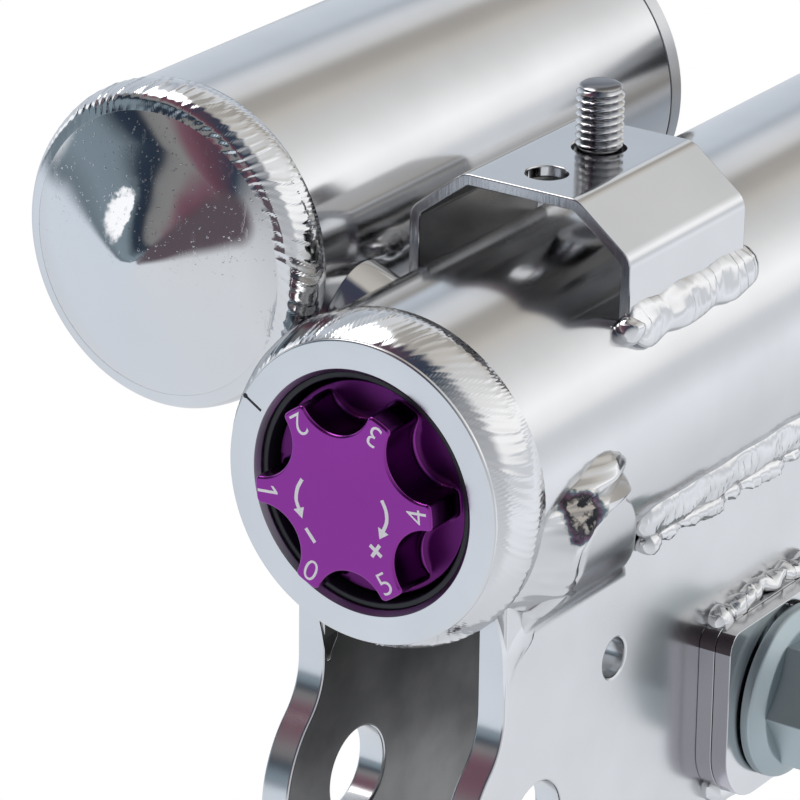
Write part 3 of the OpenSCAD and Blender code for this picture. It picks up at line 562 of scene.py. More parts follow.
def heat_tint(n, shade, spot, reach=(12, 4.4, 5.2)):
    """A blotch of scorched, blue and straw tints round a spot, over a colour."""
    near = n.vector("MULTIPLY", n.coord, [1 / (r * MM) for r in reach])
    far = n.vector("LENGTH", n.vector("SUBTRACT", near, [c / r for c, r in zip(spot, reach)]))
    far = n.math("MULTIPLY_ADD", n.noise(300, detail=5), 1.3, n.math("ADD", far, -0.62))
    heart = n.ramp(n.noise(520, detail=4),
                   [(0.47, (0.035, 0.035, 0.04)), (0.56, (0.4, 0.37, 0.34))])
    skirt = n.ramp(far, [(0.62, (0.05, 0.05, 0.06)), (0.74, (0.16, 0.1, 0.15)),
                         (0.84, (0.15, 0.23, 0.27)), (0.95, (0.62, 0.56, 0.46))])
    heat = n.mix(n.ramp(far, [(0.5, (0,)), (0.62, (1,))]), heart, skirt)
    return n.mix(n.ramp(far, [(0.84, (0,)), (1.05, (1,))]), heat, shade)


def cap_finish(steel):
    """Spun steel: nearly a mirror, with a raised streak by the tip, specks and scratches."""
    n = Nodes("spun_cap")
    broad = n.noise(60, detail=4)
    fine = n.noise(500, detail=5)
    # The streak: its middle and half sizes in mm, across and along a line near the tip.
    (x, y), (mid_x, mid_y), (half_x, half_y) = (0.963, 0.272), (4.2, 7.6), (3.6, 5.4)
    base = n.vector("SUBTRACT", n.coord, (RES[0] * MM, RES[1] * MM, 0))
    across = n.vector("DOT_PRODUCT", base, (x / half_x / MM, y / half_x / MM, 0))
    along = n.vector("DOT_PRODUCT", base, (-y / half_y / MM, x / half_y / MM, 0))
    across = n.math("ADD", across, -mid_x / half_x)
    across = n.math("MAXIMUM", across, n.math("MULTIPLY", across, -1.8))
    along = n.math("ADD", along, -mid_y / half_y)
    far = n.math("ADD", n.math("MULTIPLY", across, across), n.math("MULTIPLY", along, along))
    grain = n.math("MULTIPLY_ADD", n.noise(900, detail=3), 1.1, 0.4)
    streak = n.math("MULTIPLY", n.math("POWER", 2.718, n.math("MULTIPLY", far, -1.0)), grain)
    specks = n.ramp(n.noise(1400, detail=2), [(0.66, (0,)), (0.72, (1,))])
    scratches = n.noise(420, n.scaled((1, 0.12, 1), (0, 0, 0.7)), detail=6, rough=0.75)
    scratches = n.ramp(scratches, [(0.6, (0,)), (0.66, (1,))])
    height = n.math("MULTIPLY_ADD", specks, 0.03, n.math("MULTIPLY", scratches, 0.008))
    way = n.bump(n.noise(70, detail=1), 1.0, 0.00022, n.bump(height, 0.8, 0.0006))
    way = n.vector("MULTIPLY_ADD", (0.4, 0.16, 0.19), streak, way)
    return n.set(
        Base_Color=n.mix(broad, steel, [c * 0.95 for c in steel]), Metallic=1.0,
        Roughness=n.math("MULTIPLY_ADD", fine, 0.05, 0.05), Normal=n.vector("NORMALIZE", way),
    )


def thread_root_painted_shade():
    """Bright steel on the crests and painted shade in the roots, by distance from the stud's axis.
    """
    n = Nodes("stud_thread")
    axis = n.vector("SUBTRACT", n.coord, (0, 0, STUD[2] * MM))
    far = n.vector("LENGTH", n.vector("MULTIPLY", axis, (1, 0, 1)))
    whole = 5  # the radius in mm at the ramp's end
    shade = n.ramp(n.math("MULTIPLY", far, 1 / (whole * MM)), [
        (0.64, (0.25, 0.25, 0.27)), (0.7, (0.7, 0.7, 0.72)), (0.75, (0.9, 0.9, 0.91)),
    ])
    rough = n.math("MULTIPLY_ADD", n.noise(900, detail=4), 0.08, 0.08)
    return n.set(Base_Color=shade, Metallic=1.0, Roughness=rough)


def coated(name, colour, rough, depth, scale=900.0, spec=0.5, coat=0.0):
    """Plastic, rubber, foam, paint or ink. depth is the grain's, in microns."""
    n = Nodes(name)
    fine = n.noise(scale, detail=4, rough=0.6)
    shade = n.mix(n.noise(30, detail=3), colour, [c * 0.8 for c in colour])
    n.shader.inputs["Specular IOR Level"].default_value = spec
    n.shader.inputs["Coat Weight"].default_value = coat
    return n.set(
        Base_Color=shade,
        Roughness=n.math("MULTIPLY_ADD", fine, 0.15, rough - 0.07),
        Normal=n.bump(fine, 0.6, depth * 1e-6),
    )


def make_finishes(look):
    steel, knob = tuple(look.steel_colour), tuple(look.knob_colour)
    return {
        "tube": metal("drawn_tube", steel, 0.13, 0.03, (1, 1, 0.03), 900, 4),
        "turned": metal("turned_steel", steel, 0.17, 0.05, scale=700, depth=4),
        "cap": cap_finish(steel),
        "rim": metal("cap_weld", steel, 0.07, scale=500),
        "sheet": metal("pressed_sheet", steel, 0.15, 0.05, scale=350, depth=12),
        "bead": metal("weld_bead", (0.88, 0.885, 0.895), 0.09, 0.05, scale=500, depth=20,
                      tint=(0.82, 0.82, 0.83), spot=(-31.6, -2.2, 17.4)),
        "zinc": metal("zinc_plate", (0.47, 0.55, 0.58), 0.3, 0.1, scale=600,
                      tint=(0.5, 0.57, 0.58)),
        # Painted shade in the stud's thread roots.
        "stud": thread_root_painted_shade(),
        "bracket": metal("bracket_sheet", steel, 0.1, scale=350, depth=8),
        "ear": metal("ear_sheet", steel, 0.19, 0.05, scale=350),
        # Painted shade: darker steel for the ears' inner faces, which face the tube.
        "inside": metal("sheet_inner_painted_shade", (0.3, 0.295, 0.29), 0.36, 0.1, scale=300, depth=20,
                        tint=(0.15, 0.147, 0.145)),
        # Painted shade: a darker copy of the knob's colour for the floors deep in its flutes.
        "floor": metal("anodised_floor_painted_shade", [c * 0.42 for c in knob], 0.3, 0.05, scale=1200, depth=6),
        # A rougher bored face with painted shade: darker than the steel, inside the foot ring's
        # bore.
        "bore": metal("bore_wall_painted_shade", (0.4, 0.38, 0.42), 0.42, 0.05),
        # Painted shade: darker steel on the bracket's inner faces, under the hat.
        "shaded": metal("bracket_inside_painted_shade", (0.5, 0.5, 0.5), 0.22, 0.1, (1, 1, 0.3), 300, 20,
                        (0.3, 0.3, 0.31)),
        "sawn": metal("sawn_edge", (0.85, 0.86, 0.88), 0.22, 0.1, (1, 0.1, 1), 1600, 160,
                      (0.4, 0.42, 0.45)),
        "edge": metal("plate_edge", (0.62, 0.6, 0.645), 0.2, 0.06, (1, 0.1, 1), 900, 20),
        # Painted reflection: a dark strip on the plates' lower front corner.
        "painted_reflection_strip": metal("plate_corner_painted_reflection", (0.13, 0.105, 0.115), 0.25, 0.05),
        "anodised": metal("anodised_knob", knob, 0.2, 0.05, scale=1200, depth=6),
        "alloy": metal("alloy", (0.78, 0.79, 0.8), 0.3, 0.08, scale=500),
        "rod": metal("chromed_rod", (0.85, 0.86, 0.88), 0.06, 0.02, (1, 1, 0.05), 900, 2),
        "black": coated("black_plastic", (0.012, 0.014, 0.018), 0.35, 20),
        "rubber": coated("seal_rubber", (0.016, 0.016, 0.017), 0.6, 40, 500),
        "foam": coated("bump_stop_foam", tuple(look.foam_colour), 0.85, 250, 700, 0.3),
        "paint": coated("spring_coat", tuple(look.spring_colour), 0.32, 30, 420, 0.5, 0.25),
        "white": coated("mark_white", (0.82, 0.82, 0.84), 0.5, 10),
        "liner": coated("ptfe_liner", (0.3, 0.29, 0.24), 0.55, 20),
        "ink": coated("dark_mark", (0.02, 0.02, 0.025), 0.5, 10),
    }


# The finishes by name, which the first operator makes.
finishes = {}


# ---------- settings ----------


class CoiloverLook(bpy.types.PropertyGroup):
    steel_colour: FloatVectorProperty(
        name="Steel", description="Colour of the polished stainless steel", subtype="COLOR",
        default=(0.86, 0.865, 0.875), min=0, max=1,
    )
    knob_colour: FloatVectorProperty(
        name="Bump knob", description="Colour of the anodised bump knob", subtype="COLOR",
        default=(0.35, 0.055, 0.385), min=0, max=1,
    )
    spring_colour: FloatVectorProperty(
        name="Spring", description="Colour of the spring's powder coat", subtype="COLOR",
        default=(0.052, 0.056, 0.062), min=0, max=1,
    )
    foam_colour: FloatVectorProperty(
        name="Bump stop", description="Colour of the foam bump stop", subtype="COLOR",
        default=(0.52, 0.42, 0.18), min=0, max=1,
    )
    ripple_pitch: FloatProperty(
        name="Weld ripple", description="Distance between the ripples of a weld bead",
        default=1.35 * MM, min=0.5 * MM, max=4 * MM, unit="LENGTH", precision=5,
    )
    tube_steps: IntProperty(
        name="Tube steps", description="Faces round a tube", default=192, min=48, max=360,
    )


def look():
    return bpy.context.scene.coilover_look


# ---------- pieces ----------


class COILOVER_OT_finishes(bpy.types.Operator):
    """Make the finishes and give them to every CAD node"""

    bl_idname = "coilover.finishes"
    bl_label = "Finishes"

    def execute(self, context):
        finishes.update(make_finishes(look()))
        kinds = {
            "stainless": "turned", "weld_bead": "bead", "zinc": "zinc",
            "purple_anodised": "anodised", "black_plastic": "black", "aluminium": "alloy",
            "spring_paint": "paint", "rubber": "rubber", "foam": "foam", "liner": "liner",
        }
        slots = node_slots()
        for name, node in frame["nodes"].items():
            finish = finishes[kinds.get(slots.get(name, "stainless"), "turned")]
            if not node.data.materials:
                node.data.materials.append(finish)
            for k in range(len(node.material_slots)):
                node.material_slots[k].link = "OBJECT"
                node.material_slots[k].material = finish
        return {"FINISHED"}


def node_slots():
    """The material slot of each CAD node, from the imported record."""
    parts = frame["record"].get("subparts", [])
    return {part["node"]: part.get("material_slot") for part in parts}


class COILOVER_OT_foot(bpy.types.Operator):
    """Build the strut tube, the foot ring with its bore, and the black sleeve"""

    bl_idname = "coilover.foot"
    bl_label = "Strut tube and foot"

    def execute(self, context):
        steps = look().tube_steps
        tube = turned(looped([
            (TUBE_R, 6.2), (TUBE_R, 289.6), (26.6, 290), (24.5, 290), (24.5, 6.2),
        ]), steps)
        settle(tube, "strut_body", "strut", finishes["tube"], ["strut_tube"])
        ring = turned(looped(eased([
            (20.25, 0, 0.2), (25, 0, 0.35), (25, 6), (24.4, 6), (24.4, 16), (19.45, 16),
            (19.45, 0.8, 0.2),
        ])), steps)
        settle(ring, "foot_face", "strut", finishes["turned"], ["foot_ring"])
        # The bore's inner wall: rougher, with painted shade.
        two_tone(ring, lambda c, n: n.x * c.x + n.y * c.y < -4, finishes["bore"])
        # The index mark: a short line with a dot at its outer end.
        a, b = Vector((21.7, 11.0)), Vector((18.9, 9.3))
        way = (b - a).normalized()
        off = Vector((-way.y, way.x)) * 0.22
        line = slab([tuple(spot) for spot in (a + off, b + off, b - off, a - off)], 0.04,
                    (0, 0, -0.02))
        dot = rod(0.42, -0.02, 0.03, (21.9, 11.15, 0), steps=24)
        settle(merged([line, dot]), "index_mark", "strut", finishes["ink"])
        sleeve = turned(looped(eased([
            (18.38, 1.2, 0.25), (19.43, 1.2, 0.15), (19.43, 15), (18.38, 15),
        ])), steps)
        settle(sleeve, "knob_sleeve", "strut", finishes["black"], ["bore_sleeve"])
        return {"FINISHED"}


class COILOVER_OT_beads(bpy.types.Operator):
    """Lay the rippled beads round the foot and the reservoir's cap"""

    bl_idname = "coilover.beads"
    bl_label = "Ring beads"

    def execute(self, context):
        pitch = look().ripple_pitch / MM
        foot = ring_bead(
            [(24.95, 0.5), (25.65, 1.3), (26.4, 2.6), (27.05, 4.2), (27.55, 6.0), (27.7, 7.8),
             (27.4, 9.5), (26.96, 11.1)],
            pitch * 1.1, 0.13, seed=2.0, sweep=(5.2, 4.4),
        )
        settle(foot, "foot_bead", "strut", finishes["bead"], ["weld_foot"], 70)
        cap = ring_bead(
            [(24.0, 18.55), (25.0, 18.9), (26.1, 19.3), (27.0, 20.4), (27.6, 22.0), (27.85, 24.0),
             (27.6, 26.0), (26.9, 27.9)],
            pitch * 1.25, 0.15, at=RES, seed=5.0, sweep=(4.0, 3.6), calm=(315, 62, [
                (24.0, 18.57), (24.9, 18.94), (25.7, 19.26), (26.3, 19.6), (26.7, 20.2),
                (26.9, 21.2), (27.02, 24), (26.96, 27.9),
            ]),
        )
        settle(cap, "cap_bead", "strut", finishes["rim"], ["weld_reservoir"], 70)
        return {"FINISHED"}


class COILOVER_OT_reservoir(bpy.types.Operator):
    """Build the reservoir's tube and its spun cap"""

    bl_idname = "coilover.reservoir"
    bl_label = "Reservoir"

    def execute(self, context):
        steps = look().tube_steps
        tube = turned(
            looped(eased([(24.8, 22), (27, 22), (27, 134, 0.6), (24.8, 134)])), steps, (*RES, 0)
        )
        settle(tube, "reservoir_body", "strut", finishes["tube"], ["reservoir_tube"])
        cap = turned([
            (0.002, 10.2), (0.7, 10.22), (1.5, 10.36), (2.6, 10.68), (4.4, 11.28), (6.2, 11.88),
            (9, 12.91), (14, 14.81), (19, 16.72), (24.2, 18.66), (24.6, 18.95), (24.78, 19.4),
            (24.78, 20.5), (24.78, 30), (21.8, 30), (21.8, 20.6), (6.5, 15), (0.002, 13.8),
        ], steps, (*RES, 0))
        settle(cap, "reservoir_cap_shell", "strut", finishes["cap"], ["reservoir_cap"],
               60)
        return {"FINISHED"}


def knob_outline(r=16.5, root=11.2, flute=6.7, corner=0.85, lobes=6, turn=KNOB_TURN):
    """The knob's lobed outline: a circle cut by round flutes, with a round at each corner."""
    at = root + flute
    near, far = r - corner, flute + corner
    lean = math.acos((near * near + at * at - far * far) / (2 * near * at))
    half = math.pi / lobes
    out = []

    def arc(cx, cy, radius, a0, a1, count):
        for k in range(count):
            a = a0 + (a1 - a0) * k / (count - 1)
            out.append((cx + radius * math.cos(a), cy + radius * math.sin(a)))

    for k in range(lobes):
        mid = math.radians(turn) + 2 * half * k
        edge = half - lean
        fx, fy = at * math.cos(mid + half), at * math.sin(mid + half)
        px, py = near * math.cos(mid + edge), near * math.sin(mid + edge)
        back = math.atan2(py - fy, px - fx)
        swing = math.remainder(back - (mid + half + math.pi), 2 * math.pi)
        arc(0, 0, r, mid - edge, mid + edge, 9)
        toward = math.atan2(fy - py, fx - px)
        toward = mid + edge + math.remainder(toward - mid - edge, 2 * math.pi)
        arc(px, py, corner, mid + edge + 0.1, toward - 0.05, 7)
        start = mid + half + math.pi + swing
        arc(fx, fy, flute, start, start - 2 * swing, 25)
        qx, qy = near * math.cos(mid + 2 * half - edge), near * math.sin(mid + 2 * half - edge)
        a0 = math.atan2(fy - qy, fx - qx)
        goal = mid + 2 * half - edge
        a0 = goal + math.remainder(a0 - goal, 2 * math.pi)
        arc(qx, qy, corner, a0 + 0.05, goal - 0.1, 7)
    return out


class COILOVER_OT_knob(bpy.types.Operator):
    """Build the lobed bump knob with its marks"""

    bl_idname = "coilover.knob"
    bl_label = "Bump knob"

    def execute(self, context):
        knob = self.body()
        faired(knob)
        settle(knob, "bump_knob_body", "bump_knob", finishes["anodised"], ["bump_knob"],
               0)
        # The flutes' recessed floors get painted shade.
        two_tone(knob, lambda c, n: c.z > 2 and n.z < -0.7, finishes["floor"])
        marks = []
        for k, digit in enumerate("123450"):
            th = math.radians(KNOB_TURN + 60 * k)
            marks.append(self.mark(digit, 14.1, th, 3.9))
        # A minus, a plus and two arrows.
        marks += [
            self.stroke([(6.75, -5.75), (5.0, -7.75)]),
            self.stroke([(-5.3, -5.5), (-7.5, -6.95)]),
            self.stroke([(-7.1, -5.1), (-5.7, -7.35)], depth=0.05),
            self.stroke([(7.5, 2.3), (8.35, 0.6), (8.6, -1.3), (8.1, -2.7)], barbed=True),
            self.stroke([(-7.4, 2.5), (-8.2, 0.9), (-8.35, -0.9), (-7.75, -2.5)], barbed=True),
        ]
        settle(merged(marks), "knob_marks", "bump_knob", finishes["white"], angle=0)
        return {"FINISHED"}

    def body(self, rim=0.5, top=KNOB_TOP, floor=3, back=15.7, wide=17.7):
        """The lobed grip on its round base, with a rounded rim and a fillet at the floor."""
        line = [Vector(p) for p in knob_outline()]
        count = len(line)
        outs = []
        for k in range(count):
            way = (line[(k + 1) % count] - line[k - 1]).normalized()
            outs.append(Vector((way.y, -way.x)))
        rows = []
        for k in range(6):
            a = math.pi / 2 * k / 5
            rows.append([(*(p - n * rim * (1 - math.sin(a))), top + rim * (1 - math.cos(a)))
                         for p, n in zip(line, outs)])
        foot = [min(1.5, max(0.3, (wide - 0.55 - p.length) * 0.6)) for p in line]
        for k in range(7):
            a = math.pi / 2 * k / 6
            rows.append([(*(p + n * f * (1 - math.cos(a))), floor - f + f * math.sin(a))
                         for p, n, f in zip(line, outs, foot)])
        last = [Vector(p[:2]) for p in rows[-1]]
        base = ((wide - 0.4, floor), (wide - 0.12, floor + 0.12), (wide, floor + 0.4),
                (wide, back), (4, back))
        for r, z in base:
            rows.append([(*(p.normalized() * r), z) for p in last])
        return lofted(rows)

    def mark(self, text, radius, th, size):
        """A dial figure, its foot towards the rim."""
        if text == "1":
            t = slab([(-0.2, -1.9), (0.26, -1.9), (0.26, 1.9), (-0.1, 1.9), (-1.0, 1.2),
                      (-1.0, 0.72), (-0.2, 1.25)], 0.04, (0, 0, -0.02))
        else:
            deselect()
            bpy.ops.object.text_add()
            t = bpy.context.object
            t.data.body = text
            t.data.size = size * 1.38 * MM
            t.data.align_x = "CENTER"
            t.data.align_y = "CENTER"
            t.data.extrude = 0.02 * MM
            t.data.offset = -0.05 * MM
            bpy.ops.object.convert(target="MESH")
            t = bpy.context.object
        up = Vector((-math.cos(th), -math.sin(th), 0))
        right = Vector((math.sin(th), -math.cos(th), 0))
        out = Vector((0, 0, -1))
        at = -up * radius * MM + Vector((0, 0, (KNOB_TOP - 0.01) * MM))
        t.data.transform(Matrix.Translation(at) @ Matrix((right, up, out)).transposed().to_4x4())
        return t

    def stroke(self, points, barbed=False, depth=0.04, width=0.62):
        """A printed line of one width, or an arrow with a barbed tip."""
        path = [Vector(p[:2]) for p in (smooth_path(points, 6) if len(points) > 2 else points)]
        left, right = [], []
        for i, p in enumerate(path):
            way = (path[min(i + 1, len(path) - 1)] - path[max(i - 1, 0)]).normalized()
            side = Vector((-way.y, way.x)) * width / 2
            left.append(p + side)
            right.append(p - side)
        if barbed:
            way = (path[-1] - path[-2]).normalized()
            side = Vector((-way.y, way.x))
            left.append(path[-1] + side * 1.05)
            left.append(path[-1] + way * 1.7)
            right.append(path[-1] - side * 1.05)
        outline = [tuple(p) for p in left + right[::-1]]
        return slab(outline, depth, (0, 0, KNOB_TOP + 0.01 - depth))


def ear_outline():
    """Outline of an ear as (y, z) in mm, from the tube down round both bolt lobes."""
    reach, low, high, r, fil = -BOLT_Y, LOW_BOLT_Z, BOLT_Z, 20.1, 12
    ear_z, top = 11.6, 121
    fil_z = ear_z - fil
    fil_y = -reach + math.sqrt((r + fil) ** 2 - (low - fil_z) ** 2)
    out = [(-8, top), (-8, ear_z)]
    a0 = math.pi / 2
    a1 = math.atan2(low - fil_z, -reach - fil_y)
    for k in range(13):
        a = a0 + (a1 - a0) * k / 12
        out.append((fil_y + fil * math.cos(a), fil_z + fil * math.sin(a)))
    b0 = math.atan2(fil_z - low, fil_y + reach)
    for k in range(1, 41):
        a = b0 + (-math.pi - b0) * k / 40
        out.append((-reach + r * math.cos(a), low + r * math.sin(a)))
    for k in range(0, 21):
        a = math.pi - math.pi / 2 * k / 20
        out.append((-reach + r * math.cos(a), high + r * math.sin(a)))
    out += [(-49, high + r, 6), (-29, top, 6)]
    return eased(out, 6)


def stadium(half, r, steps=16):
    """A slot's outline along the first axis."""
    out = []
    for k in range(2 * steps + 2):
        a = -math.pi / 2 + math.pi * (k if k <= steps else k - 1) / steps
        out.append(((half if k <= steps else -half) + r * math.cos(a), r * math.sin(a)))
    return out


def slot_outline():
    """The slot for the upper bolt, the same in ears and plates."""
    return [(BOLT_Y + y, BOLT_Z + z) for y, z in stadium(8.3, 7.6)]


def round_hole(y, z, r, steps=56):
    """A hole's outline in the YZ plane."""
    return [
        (y + r * math.cos(2 * math.pi * k / steps), z + r * math.sin(2 * math.pi * k / steps))
        for k in range(steps)
    ]


class COILOVER_OT_ears(bpy.types.Operator):
    """Press the two ears of the clevis with the tongues that wrap the tube"""

    bl_idname = "coilover.ears"
    bl_label = "Clevis ears"

    def execute(self, context):
        for name, side in EARS:
            holes = [round_hole(BOLT_Y, LOW_BOLT_Z, 7.75, 72), slot_outline()]
            if side < 0:
                # Only the right ear has the small hole.
                holes.append(round_hole(-39.5, 44.3, 3.4))
            ear = sheet_yz([ear_outline(), *holes], side, EAR_X, EAR_T, 0.45)
            joined_by(ear, tube_drill(0.03))
            tongue = self.tongue(side, -2.3 if side < 0 else -11.3)
            whole = merged([ear, tongue])
            settle(whole, f"ear_{name}_sheet", "strut", finishes["ear"], [f"ear_{name}"],
                   9)
            # The ears' inner faces get painted shade.
            two_tone(whole, lambda c, n, s=side: n.x * s < -0.8 and c.x * s < EAR_X + 0.2,
                     finishes["inside"])
        return {"FINISHED"}

    def tongue(self, side, end):
        """The tongue: a sheet that leaves the ear's face, bends out and wraps the tube."""
        # Its run seen from above, as (x, y, half thickness): ear, bend and wrap.
        run = [(19.84, -33.5, 0.6), (19.855, -31.5, 1.2), (19.87, -29, 2.2), (19.88, -26.4, 2.6)]
        bend_x, bend_y, bend_r, bends, wraps = 25.3, -26.4, 5.42, 10, 22
        for k in range(1, bends + 1):
            a = math.radians(180 - BEND * k / bends)
            run.append((bend_x + bend_r * math.cos(a), bend_y + bend_r * math.sin(a), 2.6))
        for k in range(1, wraps + 1):
            a = math.radians(-BEND + (end + BEND) * k / wraps)
            run.append((WRAP_R * math.cos(a), WRAP_R * math.sin(a), 2.1))
        last = len(run) - 1
        # The heights z of its front and rear edge by y; the left tongue wraps less far.
        front = [(-34, 11.8), (-27, 13.2), (-22, 16.5), (-17.4, 18.6), (-13.8, 18.6), (-8.6, 16.6),
                 (-6, 17.6), (-3.6, 21)]
        rear = [(-34, 50.5), (-26, 49.6), (-24.6, 48.2), (-20.5, 43), (-13.8, 37.6), (-8, 34),
                (-4.8, 31.6), (-3.4, 29.5)]
        drop = 0 if side < 0 else 4.8

        def at(table, y):
            """The height that a table of (y, z) gives at a y."""
            for (y0, z0), (y1, z1) in zip(table, table[1:]):
                if y <= y1:
                    return z0 + (z1 - z0) * max(0, (y - y0) / (y1 - y0))
            return table[-1][1]

        cols, rim = 30, 20
        rows = []
        for i, (x, y, half) in enumerate(run):
            before, after = Vector(run[max(i - 1, 0)][:2]), Vector(run[min(i + 1, last)][:2])
            way = (after - before).normalized()
            out = Vector((way.y, -way.x))
            along = y + (drop if i > 4 + bends else 0)
            z0, z1 = at(front, along), at(rear, along)
            r = half if i > 3 else half * 0.8
            mid = Vector((x, y)) - out * half
            row = []
            for j in range(2 * cols + 2 * rim):
                if j < cols:
                    z, off = z0 + r + (z1 - z0 - 2 * r) * j / cols, half
                elif j < cols + rim:
                    a = math.pi * (j - cols) / rim
                    z, off = z1 - r + r * math.sin(a), half * math.cos(a)
                elif j < 2 * cols + rim:
                    t = (j - cols - rim) / cols
                    z, off = z1 - r - (z1 - z0 - 2 * r) * t, -half
                else:
                    a = math.pi * (j - 2 * cols - rim) / rim
                    z, off = z0 + r - r * math.sin(a), -half * math.cos(a)
                if i == last:
                    off *= 0.55
                    z = (z0 + z1) / 2 + (z - (z0 + z1) / 2) * 0.93
                spot = mid + out * off
                row.append((side * spot.x, spot.y, z))
            rows.append(row)
        obj = lofted(rows)
        only(obj)
        bpy.ops.object.shade_smooth_by_angle(angle=math.radians(50))
        return obj


class COILOVER_OT_plates(bpy.types.Operator):
    """Stack the slotted reinforcing plates on both ears"""

    bl_idname = "coilover.plates"
    bl_label = "Slotted plates"

    def execute(self, context):
        for name, side in EARS:
            for k, part in enumerate(("inner", "outer")):
                front, back = BOLT_Y + PLATE_Y / 2, BOLT_Y - PLATE_Y / 2
                high, low = BOLT_Z + PLATE_Z / 2, BOLT_Z - PLATE_Z / 2
                outline = eased([
                    (front, high, 2.5), (back, high, 2.5), (back, low, PLATE_R), (front, low, 3.4),
                ], 10)
                x = EAR_X + EAR_T + 0.02 + 3.09 * k
                sheet = sheet_yz([outline, slot_outline()], side, x, 2.96, 0.14)
                settle(sheet, f"slot_plate_{part}_{name}", "strut", finishes["sheet"],
                       [f"plate_{part}_{name}"], 13)
                two_tone(sheet, lambda c, n: n.z < -0.5 and c.z < 80, finishes["edge"])
                # The lower front corner gets a painted dark reflection.
                two_tone(sheet, lambda c, n: n.z < -0.5 and c.y > -48, finishes["painted_reflection_strip"])
        return {"FINISHED"}


def tongue_bead(side, drop):
    """The broad bead that fills the corner between a tongue's front edge and the tube.

    A row of the table is the angle round the tube, the bead's lower and upper edge, and its crown.
    """
    table = [
        (-60, 11.6, 12.6, 0.1), (-57, 11.2, 15.5, 0.5), (-53, 10.9, 20.5, 0.8),
        (-49, 10.7, 24.5, 1.0), (-44, 10.6, 26.5, 1.1), (-38, 10.5, 25.2, 1.2),
        (-32, 10.3, 21.6, 1.3), (-26, 10.1, 19.2, 1.4), (-20, 10.0, 17.6, 1.5),
        (-14, 10.0, 17.0, 1.6), (-9, 10.0, 19.6, 1.7), (-6, 10.1, 23.6, 1.8),
        (-3.5, 10.9, 29.0, 2.2), (-1, 12.8, 33.2, 3.2), (2, 16.5, 33.8, 3.3),
        (5, 21.0, 32.6, 2.3), (7.5, 24.4, 30.4, 1.1), (8.6, 26.2, 28.4, 0.1),
    ]

    def skin(deg):
        """Radius of the tongue's outer face, or of the tube past its end."""
        if deg > -2.6:
            return TUBE_R + 3.6 * max(0, min(1, (-deg - 1.4) / 1.2))
        if deg > -BEND:
            return 30.9
        spread = WRAP_R + (-BEND - deg) * 0.27 + max(0, -53 - deg) * 0.66
        return min(spread, 19.7 / math.cos(math.radians(deg)))

    span, deep = 90, 36
    rows = []
    for i in range(span + 1):
        deg = table[0][0] + (table[-1][0] - table[0][0]) * i / span
        n = next(k for k in range(len(table) - 1) if deg <= table[k + 1][0] + 1e-6)
        t = eased_share((deg - table[n][0]) / (table[n + 1][0] - table[n][0]))
        z0, z1, crown = [a + (b - a) * t for a, b in zip(table[n][1:], table[n + 1][1:])]
        z1 += 0.5 * noise.noise(Vector((deg * 0.16, 3.0, side)))
        th = math.radians(deg - drop)
        far = skin(deg)
        near = 26.7 if deg > -47 else min(far, 26.7 + (-47 - deg) * 1.0)
        top, under = [], []
        for j in range(deep + 1):
            u = j / deep
            bulge = math.sin(math.pi * u) ** 0.75
            rough = noise.noise(Vector((deg * 0.11, u * 2.2, 5.0 + side))) * 0.7
            scale = ripple(deg * 0.5, u, 1.5, 4.0 + side, 0.5, (2, 2))
            high = crown * bulge * (1 + 0.45 * rough) + 0.025 * bulge * scale
            r = near + (far - near) * eased_share(u) + high
            z = z0 + (z1 - z0) * u
            top.append((side * r * math.cos(th), r * math.sin(th), z))
            low = r - min(1.6, high + 0.05)
            under.append((side * low * math.cos(th), low * math.sin(th), z))
        rows.append(top + under[-2:0:-1])
    return lofted(rows)


